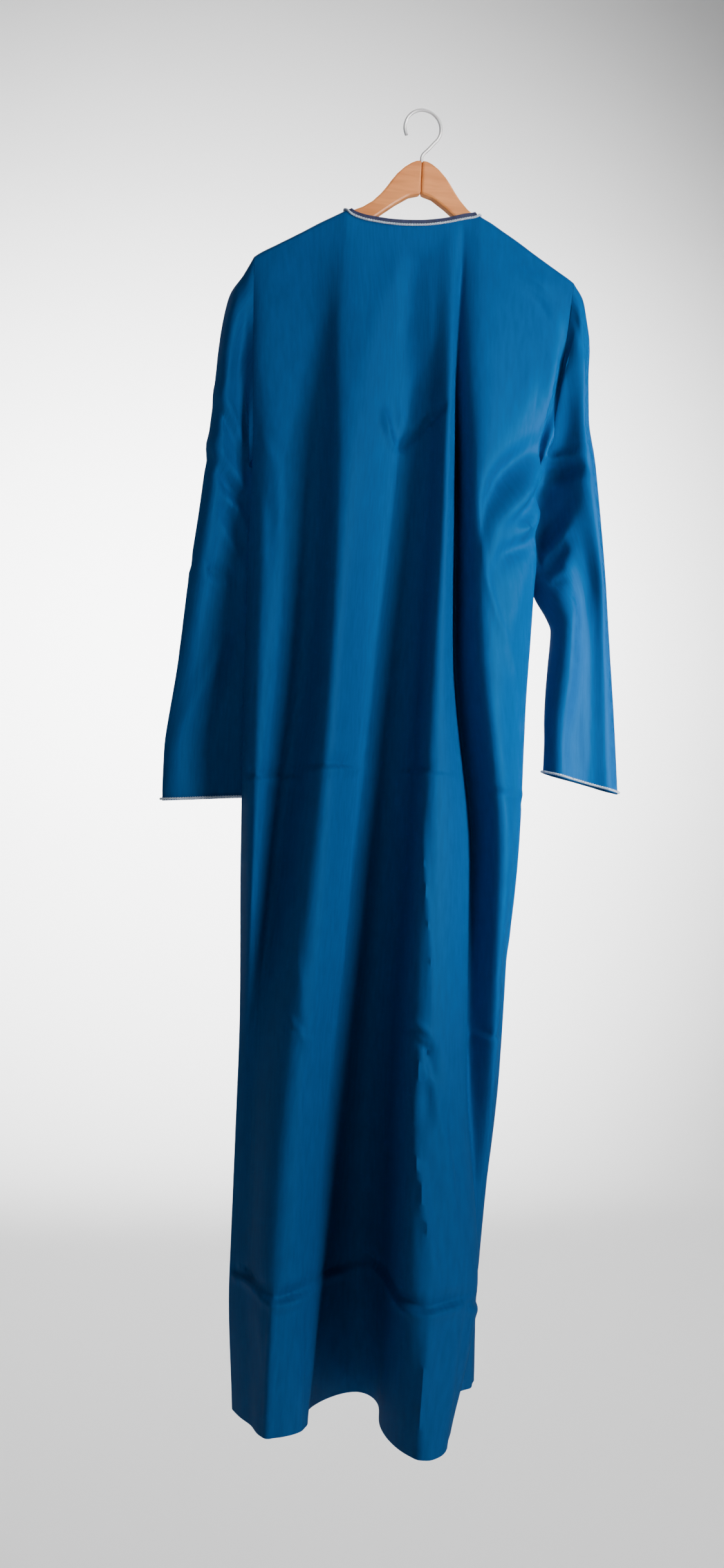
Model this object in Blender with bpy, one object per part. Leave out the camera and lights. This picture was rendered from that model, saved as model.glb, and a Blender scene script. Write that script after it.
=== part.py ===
# Thobe robe hung on a plain wooden hanger, with the folds that its back shows.
# Metres, +Z up. +X runs along the hanger, -Y is the garment's back, and the origin is the
# highest inside point of the hook.

import bpy
import bmesh
import numpy as np

# Cloth
WALL = 0.0015
GAP = 0.0003
HEM_Z = -1.562
UNDERARM_Z = -0.430
ARM_OUT = 0.0095
DRAPE_R = 0.0060
SEAM_HALF = 0.0006
CORD_R = 0.0016
CORD_BELOW_EDGE = 0.0022
NECK_CORD_GAP = 0.0016
CUFF_CORD_GAP = 0.0004
BINDING_H = 0.0040

# Placket on the front: where it starts below the neck edge, and its pointed end
PLACKET_START = 0.0046
PLACKET_SIDE_Z = -0.375
PLACKET_POINT_Z = -0.411

# Hanger
HANGER_T = 0.013
HANGER_EDGE_R = 0.0028
JOINT_GAP = 0.0003
BEVEL_FROM_ANGLE = 1.2
SHARP_FROM_ANGLE = 0.6
HOOK_R = 0.020
WIRE_R = 0.002
HOOK_POINTS = 56
BORE_SIDES = 16
CORD_SIDES = 6
STEM_END_Z = -0.0775
APEX_Z = -0.060

# Resolution of the cloth walls
STEPS_PER_FOLD = 2
REACH_STEP = 0.020
EDGE_STEP = 0.014
CROSSING_STEPS = (0.15, 0.50)
ARMHOLE_ROWS = 7
SKIRT_ROWS = 13
SLEEVE_ROWS = 17
NORMAL_PASSES = 2
NEAR_TOP = (0.0, 0.0010, 0.0030, 0.0065, 0.012)

# Height of the cloth over the hanger arm at each distance from the middle
SHOULDER_LINE = (
    # distance, z
    (0.060, -0.1085),
    (0.072, -0.1190),
    (0.088, -0.1270),
    (0.100, -0.1340),
    (0.120, -0.1455),
    (0.140, -0.1580),
    (0.170, -0.1760),
    (0.190, -0.1880),
    (0.200, -0.1960),
)

# Neck edge from the left crossing of the hanger to the right one
NECK_BACK = (
    # x, z
    (-0.0880, -0.1270),
    (-0.0850, -0.1305),
    (-0.0785, -0.1342),
    (-0.0600, -0.1378),
    (-0.0300, -0.1393),
    (0.0000, -0.1375),
    (0.0300, -0.1322),
    (0.0550, -0.1248),
    (0.0660, -0.1222),
    (0.0720, -0.1190),
)
NECK_FRONT = (
    # x, z
    (-0.0880, -0.1270),
    (-0.0815, -0.1390),
    (-0.0730, -0.1550),
    (-0.0610, -0.1720),
    (-0.0450, -0.1880),
    (-0.0250, -0.1975),
    (-0.0080, -0.2000),
    (0.0090, -0.1975),
    (0.0290, -0.1880),
    (0.0450, -0.1720),
    (0.0570, -0.1540),
    (0.0655, -0.1340),
    (0.0720, -0.1190),
)
TIP_LEFT = -0.1960
TIP_RIGHT = 0.1925

# Fold lines that run down the body, left to right, placed at these heights
LEVELS = (-0.300, UNDERARM_Z, -0.480, -0.650, -0.900, -1.150, -1.400, HEM_Z)
BACK_FOLDS = (
    # fold, x at the top edge, then x and y at each level
    ("seam_left", TIP_LEFT,
     (-0.193, -0.187, -0.187, -0.186, -0.180, -0.172, -0.172, -0.162),
     (-0.011, 0.002, 0.004, 0.008, 0.012, 0.012, 0.006, 0.006)),
    ("crest_a", -0.185,
     (-0.178, -0.168, -0.169, -0.172, -0.170, -0.165, -0.163, -0.154),
     (-0.017, -0.013, -0.015, -0.030, -0.034, 0.000, -0.010, -0.018)),
    ("valley_a", -0.135,
     (-0.119, -0.115, -0.116, -0.120, -0.140, -0.151, -0.151, -0.143),
     (-0.012, -0.008, -0.007, -0.004, -0.004, -0.016, -0.035, -0.045)),
    ("crest_b", NECK_BACK[0][0],
     (-0.093, -0.091, -0.091, -0.093, -0.105, -0.118, -0.126, -0.128),
     (-0.032, -0.049, -0.051, -0.058, -0.064, -0.068, -0.080, -0.078)),
    ("slope_b", -0.050,
     (-0.036, -0.039, -0.041, -0.048, -0.052, -0.060, -0.067, -0.075),
     (-0.022, -0.030, -0.030, -0.028, -0.024, -0.022, -0.026, -0.040)),
    ("wall_b", -0.033,
     (-0.021, -0.021, -0.022, -0.027, -0.033, -0.041, -0.054, -0.070),
     (-0.018, -0.018, -0.017, -0.012, -0.004, 0.006, 0.016, 0.003)),
    ("valley_b", -0.010,
     (0.000, 0.002, 0.002, 0.000, -0.006, -0.011, -0.009, -0.004),
     (-0.014, -0.010, -0.008, 0.000, 0.012, 0.026, 0.044, 0.055)),
    ("wall_c", 0.006,
     (0.013, 0.015, 0.015, 0.015, 0.008, 0.005, 0.007, 0.014),
     (-0.018, -0.016, -0.014, -0.008, 0.000, 0.010, 0.020, 0.025)),
    ("slope_c", 0.020,
     (0.024, 0.025, 0.025, 0.022, 0.016, 0.011, 0.012, 0.008),
     (-0.024, -0.030, -0.030, -0.030, -0.030, -0.030, -0.036, -0.041)),
    ("crest_c", 0.036,
     (0.039, 0.036, 0.036, 0.034, 0.034, 0.033, 0.036, 0.034),
     (-0.034, -0.052, -0.055, -0.062, -0.074, -0.094, -0.122, -0.139)),
    ("edge_c", 0.046,
     (0.046, 0.047, 0.048, 0.053, 0.074, 0.079, 0.094, 0.069),
     (-0.026, -0.039, -0.041, -0.046, -0.050, -0.070, -0.092, -0.129)),
    ("valley_c", 0.056,
     (0.055, 0.060, 0.063, 0.071, 0.104, 0.108, 0.122, 0.115),
     (-0.012, -0.006, -0.005, -0.002, 0.002, -0.002, -0.012, 0.038)),
    ("crest_d", NECK_BACK[-1][0],
     (0.073, 0.074, 0.078, 0.093, 0.127, 0.131, 0.134, 0.138),
     (-0.028, -0.045, -0.046, -0.044, -0.032, -0.018, 0.022, 0.062)),
    ("flat_d", 0.130,
     (0.125, 0.117, 0.119, 0.129, 0.141, 0.143, 0.139, 0.145),
     (-0.020, -0.030, -0.028, -0.018, -0.004, 0.006, 0.044, 0.076)),
    ("seam_right", TIP_RIGHT,
     (0.181, 0.155, 0.156, 0.158, 0.154, 0.152, 0.142, 0.150),
     (-0.011, 0.002, 0.004, 0.010, 0.020, 0.030, 0.060, 0.0875)),
)
FRONT_FOLDS = (
    # fold, x at the top edge, then x and y at each level
    ("seam_left", TIP_LEFT,
     (-0.193, -0.187, -0.187, -0.186, -0.180, -0.172, -0.172, -0.162),
     (0.014, 0.006, 0.008, 0.012, 0.016, 0.016, 0.010, 0.010)),
    ("tuck_e", -0.175,
     (-0.168, -0.162, -0.160, -0.158, -0.152, -0.148, -0.148, -0.146),
     (0.016, 0.013, 0.015, 0.020, 0.028, 0.036, 0.050, 0.062)),
    ("crest_e", -0.145,
     (-0.140, -0.134, -0.132, -0.130, -0.126, -0.124, -0.122, -0.120),
     (0.022, 0.042, 0.048, 0.066, 0.078, 0.098, 0.135, 0.172)),
    ("valley_e", -0.110,
     (-0.105, -0.098, -0.096, -0.094, -0.092, -0.090, -0.088, -0.088),
     (0.016, 0.026, 0.027, 0.030, 0.038, 0.054, 0.086, 0.112)),
    ("crest_f", NECK_FRONT[0][0],
     (-0.070, -0.062, -0.061, -0.060, -0.060, -0.060, -0.060, -0.060),
     (0.024, 0.048, 0.054, 0.074, 0.088, 0.112, 0.150, 0.190)),
    ("placket_left", -0.0325,
     (-0.0325, -0.0325, -0.0325, -0.033, -0.034, -0.035, -0.036, -0.037),
     (0.022, 0.042, 0.047, 0.062, 0.076, 0.100, 0.138, 0.180)),
    ("placket_right", 0.0065,
     (0.0065, 0.0065, 0.0065, 0.007, 0.008, 0.009, 0.010, 0.011),
     (0.022, 0.042, 0.047, 0.062, 0.076, 0.100, 0.138, 0.180)),
    ("crest_g", NECK_FRONT[-1][0],
     (0.044, 0.040, 0.039, 0.038, 0.036, 0.036, 0.036, 0.036),
     (0.024, 0.048, 0.054, 0.074, 0.088, 0.112, 0.150, 0.188)),
    ("valley_g", 0.100,
     (0.078, 0.070, 0.069, 0.068, 0.066, 0.066, 0.066, 0.066),
     (0.016, 0.024, 0.026, 0.030, 0.038, 0.056, 0.088, 0.112)),
    ("crest_h", 0.135,
     (0.114, 0.102, 0.102, 0.102, 0.100, 0.102, 0.102, 0.104),
     (0.022, 0.044, 0.050, 0.068, 0.080, 0.104, 0.146, 0.190)),
    ("tuck_h", 0.170,
     (0.155, 0.132, 0.133, 0.134, 0.132, 0.132, 0.126, 0.134),
     (0.016, 0.022, 0.024, 0.032, 0.044, 0.064, 0.104, 0.142)),
    ("seam_right", TIP_RIGHT,
     (0.181, 0.155, 0.156, 0.158, 0.154, 0.152, 0.142, 0.150),
     (0.014, 0.006, 0.008, 0.014, 0.024, 0.034, 0.064, 0.0915)),
)

# Sleeve sections past the armhole: both edges of the pressed sleeve, and how far its back and
# front stand off the straight line between them, one third and two thirds of the way across
SLEEVE_LEFT = (
    # outer x, y, z, inner x, y, z, back at 1/3, 2/3, front at 1/3, 2/3
    (-0.2080, 0.001, -0.2150, -0.1945, 0.006, -0.4360, 0.013, 0.009, 0.012, 0.009),
    (-0.2230, 0.004, -0.2400, -0.1985, 0.010, -0.4430, 0.018, 0.012, 0.014, 0.010),
    (-0.2310, 0.007, -0.2850, -0.1980, 0.016, -0.4550, 0.021, 0.014, 0.015, 0.011),
    (-0.2355, 0.010, -0.3450, -0.1905, 0.023, -0.4700, 0.021, 0.016, 0.015, 0.011),
    (-0.2400, 0.014, -0.4100, -0.1830, 0.030, -0.4970, 0.019, 0.015, 0.014, 0.010),
    (-0.2465, 0.018, -0.4850, -0.1760, 0.036, -0.5450, 0.016, 0.014, 0.012, 0.009),
    (-0.2560, 0.022, -0.5700, -0.1680, 0.041, -0.6200, 0.013, 0.012, 0.010, 0.008),
    (-0.2650, 0.026, -0.6750, -0.1610, 0.045, -0.7000, 0.010, 0.011, 0.009, 0.008),
    (-0.2765, 0.030, -0.7800, -0.1570, 0.048, -0.7850, 0.009, 0.010, 0.008, 0.007),
    (-0.2765, 0.030, -0.8410, -0.1560, 0.048, -0.8320, 0.010, 0.011, 0.009, 0.008),
)
SLEEVE_RIGHT = (
    # outer x, y, z, inner x, y, z, back at 1/3, 2/3, front at 1/3, 2/3
    (0.2060, 0.000, -0.2080, 0.1640, 0.004, -0.4360, 0.014, 0.009, 0.012, 0.009),
    (0.2120, 0.002, -0.2300, 0.1680, 0.006, -0.4430, 0.018, 0.014, 0.014, 0.011),
    (0.2195, 0.004, -0.2750, 0.1650, 0.008, -0.4620, 0.022, 0.022, 0.015, 0.013),
    (0.2235, 0.006, -0.3350, 0.1635, 0.010, -0.4900, 0.024, 0.024, 0.016, 0.013),
    (0.2310, 0.008, -0.4000, 0.1650, 0.010, -0.5280, 0.026, 0.018, 0.016, 0.012),
    (0.2410, 0.010, -0.4650, 0.1745, 0.008, -0.5730, 0.027, 0.014, 0.015, 0.011),
    (0.2520, 0.010, -0.5450, 0.1930, 0.004, -0.6140, 0.022, 0.018, 0.013, 0.010),
    (0.2635, 0.010, -0.6400, 0.1900, 0.002, -0.6620, 0.014, 0.018, 0.011, 0.009),
    (0.2735, 0.008, -0.7350, 0.1830, 0.000, -0.7330, 0.012, 0.014, 0.010, 0.009),
    (0.2790, 0.004, -0.8100, 0.1825, -0.002, -0.7880, 0.014, 0.015, 0.012, 0.012),
)

# Rounding of a sleeve's pressed edges: how far in from the edge, share of the next lift, and
# how far round from the edge its nearest columns lie
EDGE_SHARE = 0.05
EDGE_LIFT = 0.70
EDGE_TURN = 0.008

# Outline of one hanger arm: top edge from the joint to the tip, then back along the underside
HANGER_OUTLINE = (
    # distance from the middle, z
    (0.0000, APEX_Z),
    (0.0070, -0.0608),
    (0.0130, -0.0635),
    (0.0210, -0.0690),
    (0.0300, -0.0780),
    (0.0360, -0.0860),
    (0.0420, -0.0950),
    (0.0480, -0.1030),
    (0.0580, -0.1135),
    (0.0700, -0.1218),
    (0.0900, -0.1310),
    (0.1200, -0.1483),
    (0.1600, -0.1727),
    (0.1860, -0.1893),
    (0.1930, -0.1970),
    (0.1965, -0.2050),
    (0.1955, -0.2110),
    (0.1900, -0.2140),
    (0.1600, -0.1955),
    (0.1200, -0.1735),
    (0.0900, -0.1570),
    (0.0660, -0.1430),
    (0.0460, -0.1275),
    (0.0300, -0.1150),
    (0.0140, -0.1045),
    (0.0000, -0.1006),
)

# Wire centre line from the stem round to the free end, as angles on the hook's circle
HOOK_STEM = ((0.0, STEM_END_Z), (0.0, -0.060), (0.0005, -0.0530), (0.0055, -0.0470))
HOOK_ANGLES = (-50, -30, -10, 15, 40, 65, 90, 115, 140, 165, 190, 207)

# Colours, roughness and metallic value
FINISHES = {
    "cloth": ((0.010, 0.075, 0.190), 0.42, 0.0),
    "binding": ((0.012, 0.016, 0.055), 0.60, 0.0),
    "cord": ((0.62, 0.70, 0.80), 0.55, 0.0),
    "wood": ((0.72, 0.36, 0.13), 0.38, 0.0),
    "wire": ((0.80, 0.80, 0.82), 0.18, 1.0),
}


def clear_scene():
    """Remove the objects that the file starts with."""
    for item in list(bpy.data.objects):
        bpy.data.objects.remove(item, do_unlink=True)


def finish(name):
    """Material of one finish, made once."""
    material = bpy.data.materials.get(name)
    if material is None:
        colour, roughness, metallic = FINISHES[name]
        material = bpy.data.materials.new(name)
        material.use_nodes = True
        shader = material.node_tree.nodes["Principled BSDF"]
        shader.inputs["Base Color"].default_value = (*colour, 1.0)
        shader.inputs["Roughness"].default_value = roughness
        shader.inputs["Metallic"].default_value = metallic
    return material


def spline(knots, values, at):
    """Natural cubic spline: values (n, m) at the knots, read at the places asked for."""
    knots = np.asarray(knots, float)
    values = np.asarray(values, float)
    step = np.diff(knots)
    slope = np.diff(values, axis=0) / step[:, None]
    matrix = np.eye(len(knots))
    right = np.zeros_like(values)
    for i in range(1, len(knots) - 1):
        matrix[i, i - 1] = step[i - 1]
        matrix[i, i] = 2.0 * (step[i - 1] + step[i])
        matrix[i, i + 1] = step[i]
        right[i] = 6.0 * (slope[i] - slope[i - 1])
    bend = np.linalg.solve(matrix, right)
    i = np.clip(np.searchsorted(knots, at, side="right") - 1, 0, len(knots) - 2)
    a = (knots[i + 1] - at)[:, None]
    b = (at - knots[i])[:, None]
    h = step[i][:, None]
    cubic = (bend[i] * a ** 3 + bend[i + 1] * b ** 3) / (6.0 * h)
    line = (values[i] / h - bend[i] * h / 6.0) * a + (values[i + 1] / h - bend[i + 1] * h / 6.0) * b
    return cubic + line


def pick(table, i):
    """Rows i of a table, each column on its own."""
    return np.take_along_axis(table, i, axis=0)


def steady_curve(knots, values, at):
    """Curve that never overshoots its values. Knots and values (n, c), read at places (r, c)."""
    step = np.diff(knots, axis=0)
    slope = np.diff(values, axis=0) / step
    both = slope[:-1] * slope[1:]
    mean = np.where(both > 0.0, 2.0 * both / np.where(both > 0.0, slope[:-1] + slope[1:], 1.0), 0.0)
    tangent = np.concatenate([slope[:1], mean, slope[-1:]])
    i = (at[:, None, :] >= knots[None, 1:-1, :]).sum(axis=1)
    h = pick(step, i)
    u = np.clip((at - pick(knots, i)) / h, 0.0, 1.0)
    start, end = pick(values, i), pick(values, i + 1)
    leave, arrive = pick(tangent, i), pick(tangent, i + 1)
    return ((2 * u ** 3 - 3 * u ** 2 + 1) * start + (u ** 3 - 2 * u ** 2 + u) * h * leave
            + (3 * u ** 2 - 2 * u ** 3) * end + (u ** 3 - u ** 2) * h * arrive)


def steady_line(table, at):
    """The same curve through a table of (place, value) rows."""
    table = np.asarray(table, float)
    return steady_curve(table[:, :1], table[:, 1:], np.asarray(at, float)[:, None])[:, 0]


def top_line(neck):
    """Upper edge of a body panel: left shoulder, neck edge, right shoulder, as x and z."""
    left = np.arange(TIP_LEFT, neck[0][0] - 0.002, 0.008)
    right = np.arange(TIP_RIGHT, neck[-1][0] + 0.002, -0.008)[::-1]
    shoulder = [(x, steady_line(SHOULDER_LINE, [abs(x)])[0]) for x in (*left, *right)]
    return np.array(shoulder[:len(left)] + list(neck) + shoulder[len(left):])


def panel_columns(across, fold_run, crossings):
    """Places of a panel's columns: even steps between folds, closer where the neck edge
    climbs over the hanger."""
    reach = np.diff(across) / REACH_STEP
    run = np.diff(fold_run) / EDGE_STEP
    steps = np.maximum(STEPS_PER_FOLD, np.ceil(np.maximum(reach, run))).astype(int)
    columns = [np.linspace(a, b, n, endpoint=False)
               for a, b, n in zip(across[:-1], across[1:], steps)]
    first, last = crossings
    close = [across[first] + share * (across[first + 1] - across[first]) / steps[first]
             for share in CROSSING_STEPS]
    close += [across[last] - share * (across[last] - across[last - 1]) / steps[last - 1]
              for share in CROSSING_STEPS]
    return np.sort(np.concatenate([*columns, [across[-1]], close]))


def make_panel(side, folds, neck):
    """Points of one body panel, its normals and its directions across; side is -1 for the back
    and +1 for the front. Depth is measured down from the panel's upper edge."""
    fold_x = np.array([row[2] for row in folds])
    fold_y = np.array([row[3] for row in folds])
    reach = np.hypot(np.diff(fold_x, axis=0), np.diff(fold_y, axis=0)).mean(axis=1)
    across = np.concatenate([[0.0], np.cumsum(reach)])
    edge = top_line(neck)
    run = np.concatenate([[0.0], np.cumsum(np.hypot(*np.diff(edge, axis=0).T))])
    fold_run = np.interp([row[1] for row in folds], edge[:, 0], run)
    crossings = [k for k, row in enumerate(folds) if row[1] in (neck[0][0], neck[-1][0])]
    s = panel_columns(across, fold_run, crossings)
    top_run = steady_line(np.column_stack([across, fold_run]), s)
    top_x = steady_line(np.column_stack([run, edge[:, 0]]), top_run)
    top_z = steady_line(np.column_stack([run, edge[:, 1]]), top_run)
    depth = panel_depths(top_z)
    z = top_z - depth
    level_z = np.repeat(np.array(LEVELS)[:, None], len(s), axis=1)
    level_x = spline(across, fold_x, s).T
    level_y = spline(across, fold_y, s).T - side * ARM_OUT
    knots = -np.vstack([top_z, level_z])
    x = steady_curve(knots, np.vstack([top_x, level_x]), -z)
    y = steady_curve(knots, np.vstack([np.zeros_like(top_x), level_y]), -z)
    below = steady_line(SHOULDER_LINE, np.abs(x).ravel()).reshape(x.shape) - z
    bend = 1.0 - np.clip(below / DRAPE_R, 0.0, 1.0)
    y = y + side * (SEAM_HALF + (ARM_OUT - SEAM_HALF) * np.sqrt(1.0 - bend ** 2))
    grid = np.stack([x, y, z], axis=-1)
    normal = panel_normals(grid, side)
    picks = {row[0]: int(np.argmin(np.abs(s - place))) for row, place in zip(folds, across)}
    across = unit(np.gradient(grid, axis=1))
    return {"grid": grid, "normal": normal, "across": across, "depth": depth, "fold": picks,
            "neck": [picks[folds[k][0]] for k in crossings]}


def panel_depths(top_z):
    """Depths of a panel's rows: close over the hanger, then to the underarm and to the hem."""
    near = np.repeat(np.array(NEAR_TOP)[:, None], len(top_z), axis=1)
    chest = np.linspace(0.0, 1.0, ARMHOLE_ROWS + 1)[1:, None]
    skirt = np.linspace(0.0, 1.0, SKIRT_ROWS + 1)[1:, None]
    upper = near[-1] + (top_z - UNDERARM_Z - near[-1]) * chest
    return np.vstack([near, upper, upper[-1] + (UNDERARM_Z - HEM_Z) * skirt])


def unit(vectors):
    """Vectors scaled to length 1."""
    return vectors / np.maximum(np.linalg.norm(vectors, axis=-1, keepdims=True), 1e-12)


def panel_normals(grid, side):
    """Normals that point away from the hollow of the robe, square across the shoulder seam."""
    normal = unit(np.cross(np.gradient(grid, axis=1), np.gradient(grid, axis=0)))
    if normal[..., 1].mean() * side < 0.0:
        normal = -normal
    normal[:, 1:-1] = unit(normal[:, :-2] + 2.0 * normal[:, 1:-1] + normal[:, 2:])
    on_seam = np.abs(grid[0, :, 1]) < 2.0 * SEAM_HALF
    normal[0, on_seam, 1] = 0.0
    return unit(normal)


def wall(outer, inner, ring):
    """Vertices and faces of the closed wall between two grids of the same shape."""
    rows, columns = outer.shape[:2]
    index = np.arange(rows * columns).reshape(rows, columns)
    if ring:
        index = np.hstack([index, index[:, :1]])
    far = index + rows * columns

    def band(a, b):
        return np.stack([a[:-1], a[1:], b[1:], b[:-1]], axis=-1).reshape(-1, 4)

    faces = [band(index[r], index[r + 1]) for r in range(rows - 1)]
    faces += [band(far[r + 1], far[r]) for r in range(rows - 1)]
    faces += [band(far[0], index[0]), band(index[-1], far[-1])]
    if not ring:
        faces += [band(index[:, 0], far[:, 0]), band(far[:, -1], index[:, -1])]
    vertices = np.concatenate([outer.reshape(-1, 3), inner.reshape(-1, 3)])
    return vertices, np.concatenate(faces)


def add_mesh(name, vertices, faces, material, smooth=True):
    """Object from vertices and faces, turned so that its volume is positive."""
    mesh = bpy.data.meshes.new(name)
    mesh.from_pydata([tuple(v) for v in vertices], [], [tuple(f) for f in faces])
    body = bmesh.new()
    body.from_mesh(mesh)
    if body.calc_volume(signed=True) < 0.0:
        bmesh.ops.reverse_faces(body, faces=body.faces)
    body.to_mesh(mesh)
    body.free()
    if smooth:
        mesh.shade_smooth()
    mesh.materials.append(finish(material))
    item = bpy.data.objects.new(name, mesh)
    bpy.context.scene.collection.objects.link(item)
    return item


def add_wall(name, grid, normal, offset, ring, material):
    """Cloth wall whose outer face lies offset out from the grid, WALL thick."""
    outer = grid + normal * offset
    inner = grid + normal * (offset - WALL)
    return add_mesh(name, *wall(outer, inner, ring), material)


def body_panel(name, panel):
    """One body panel as a closed wall from its upper edge to the hem."""
    add_wall(name, panel["grid"], panel["normal"], 0.0, False, "cloth")


def placket(panel):
    """Pointed strip laid on the front's own columns, from below the neck cord to its point."""
    columns = np.arange(panel["fold"]["placket_left"], panel["fold"]["placket_right"] + 1)
    z = panel["grid"][:, columns, 2]
    share = np.abs(np.linspace(-1.0, 1.0, len(columns)))
    end_z = PLACKET_POINT_Z + (PLACKET_SIDE_Z - PLACKET_POINT_Z) * share
    inside = z[0].min() - PLACKET_START - 0.002 > z.max(axis=1)
    inside &= z.min(axis=1) > PLACKET_SIDE_Z + 0.002
    rows = np.vstack([z[0] - PLACKET_START, z[inside], end_z])
    points = np.empty(rows.shape + (3,))
    normal = np.empty(rows.shape + (3,))
    for k, column in enumerate(columns):
        for axis in range(3):
            points[:, k, axis] = np.interp(-rows[:, k], -z[:, k], panel["grid"][:, column, axis])
            normal[:, k, axis] = np.interp(-rows[:, k], -z[:, k], panel["normal"][:, column, axis])
    add_wall("front_placket", points, unit(normal), GAP + WALL, False, "cloth")


def armhole(back, front, side):
    """Closed loop down the back panel's armhole edge and up the front's, with the panels'
    normals, and how far round the loop each point lies: 0 at the top, 0.5 at the underarm."""
    column = 0 if side < 0 else -1
    rows = len(NEAR_TOP) + ARMHOLE_ROWS
    loop, normal, out = (np.concatenate([back[key][:rows, column],
                                         front[key][rows - 1::-1, column]])
                         for key in ("grid", "normal", "across"))
    half = back["depth"][:rows, column]
    half = EDGE_TURN + (0.5 - 2.0 * EDGE_TURN) * half / half[-1]
    turn = np.concatenate([half, 1.0 - half[::-1]])
    out = unit(side * out - normal * (side * out * normal).sum(axis=-1, keepdims=True))
    return loop + out * GAP, normal, turn


def sleeve_section(row, turn):
    """One closed section of a sleeve: outer edge, back, inner edge, front."""
    outer, inner = np.array(row[0:3]), np.array(row[3:6])
    back_1, back_2, front_1, front_2 = row[6:10]
    stations = (
        # turn, share of the way across, lift off the straight line
        (0.00, 0.00, 0.0),
        (0.03, EDGE_SHARE, -EDGE_LIFT * back_1),
        (0.18, 1 / 3, -back_1),
        (0.32, 2 / 3, -back_2),
        (0.47, 1.0 - EDGE_SHARE, -EDGE_LIFT * back_2),
        (0.50, 1.00, 0.0),
        (0.53, 1.0 - EDGE_SHARE, EDGE_LIFT * front_2),
        (0.68, 2 / 3, front_2),
        (0.82, 1 / 3, front_1),
        (0.97, EDGE_SHARE, EDGE_LIFT * front_1),
    )
    knots = np.array([station[0] for station in stations])
    points = np.array([outer + share * (inner - outer) + (0.0, lift, 0.0)
                       for _, share, lift in stations])
    knots = np.concatenate([knots - 1.0, knots, knots + 1.0])
    return spline(knots, np.concatenate([points] * 3), turn)


def sleeve_grid(back, front, side, table):
    """Rings of a sleeve from the armhole to the cuff, and the normals away from its middle."""
    start, start_normal, turn = armhole(back, front, side)
    rings = np.array([start] + [sleeve_section(row, turn) for row in table])
    rings = rings.reshape(len(rings), -1)
    knots = np.repeat(np.arange(float(len(rings)))[:, None], rings.shape[1], axis=1)
    at = np.linspace(0.0, len(rings) - 1.0, SLEEVE_ROWS)
    at = np.repeat(at[:, None], rings.shape[1], axis=1)
    grid = steady_curve(knots, rings, at).reshape(SLEEVE_ROWS, -1, 3)
    around = np.roll(grid, -1, axis=1) - np.roll(grid, 1, axis=1)
    normal = unit(np.cross(around, np.gradient(grid, axis=0)))
    if (normal * (grid - grid.mean(axis=1, keepdims=True))).sum() < 0.0:
        normal = -normal
    for _ in range(NORMAL_PASSES):
        normal[0] = start_normal
        normal = unit(np.roll(normal, 1, axis=1) + 2.0 * normal + np.roll(normal, -1, axis=1))
        normal[1:-1] = unit(normal[:-2] + 2.0 * normal[1:-1] + normal[2:])
    normal[0] = start_normal
    return grid, normal


def closed_tube(centre, normal, radius, sides):
    """Grid of a tube round a closed line of centres, with the surface normals along it."""
    along = unit(np.roll(centre, -1, axis=0) - np.roll(centre, 1, axis=0))
    level = unit(np.cross(along, normal))
    upright = np.cross(level, along)
    angle = np.linspace(0.0, 2.0 * np.pi, sides, endpoint=False)[:, None, None]
    return centre + radius * (np.cos(angle) * upright + np.sin(angle) * level)


def ring_solid(name, loops, material):
    """Solid ring through closed loops of points, which follow each other round its section."""
    count = loops.shape[1]
    index = np.arange(loops.shape[0] * count).reshape(-1, count)
    index = np.vstack([index, index[:1]])
    index = np.hstack([index, index[:, :1]])
    faces = np.stack([index[:-1, :-1], index[:-1, 1:], index[1:, 1:], index[1:, :-1]], axis=-1)
    return add_mesh(name, loops.reshape(-1, 3), faces.reshape(-1, 4), material)


def neck_trims(back, front):
    """Binding that stands on the neck edge, and the cord laid on the cloth below it."""
    edge, lift = (np.concatenate([
        back[key][0, back["neck"][0]:back["neck"][1] + 1],
        front[key][0, front["neck"][0]:front["neck"][1] + 1][::-1],
    ]) for key in ("grid", "normal"))
    along = unit(np.roll(edge, -1, axis=0) - np.roll(edge, 1, axis=0))
    down = unit(np.cross(lift, along))
    if down[:, 2].sum() > 0.0:
        down = -down
    low = edge - down * GAP
    high = low - down * BINDING_H
    inside = -lift * WALL
    ring_solid("neck_binding", np.array([low, high, high + inside, low + inside]), "binding")
    lift = unit(np.roll(lift, 1, axis=0) + lift + np.roll(lift, -1, axis=0))
    centre = edge + down * CORD_BELOW_EDGE + lift * (CORD_R + NECK_CORD_GAP)
    ring_solid("neck_cord", closed_tube(centre, lift, CORD_R, CORD_SIDES), "cord")


def sleeve(name, cord_name, back, front, side, table):
    """A sleeve wall and the cord laid round its cuff edge."""
    grid, normal = sleeve_grid(back, front, side, table)
    add_wall(name, grid, normal, 0.0, True, "cloth")
    up = unit(grid[-2] - grid[-1])
    centre = grid[-1] + up * CORD_BELOW_EDGE + normal[-1] * (CORD_R + CUFF_CORD_GAP)
    ring_solid(cord_name, closed_tube(centre, normal[-1], CORD_R, CORD_SIDES), "cord")


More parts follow.
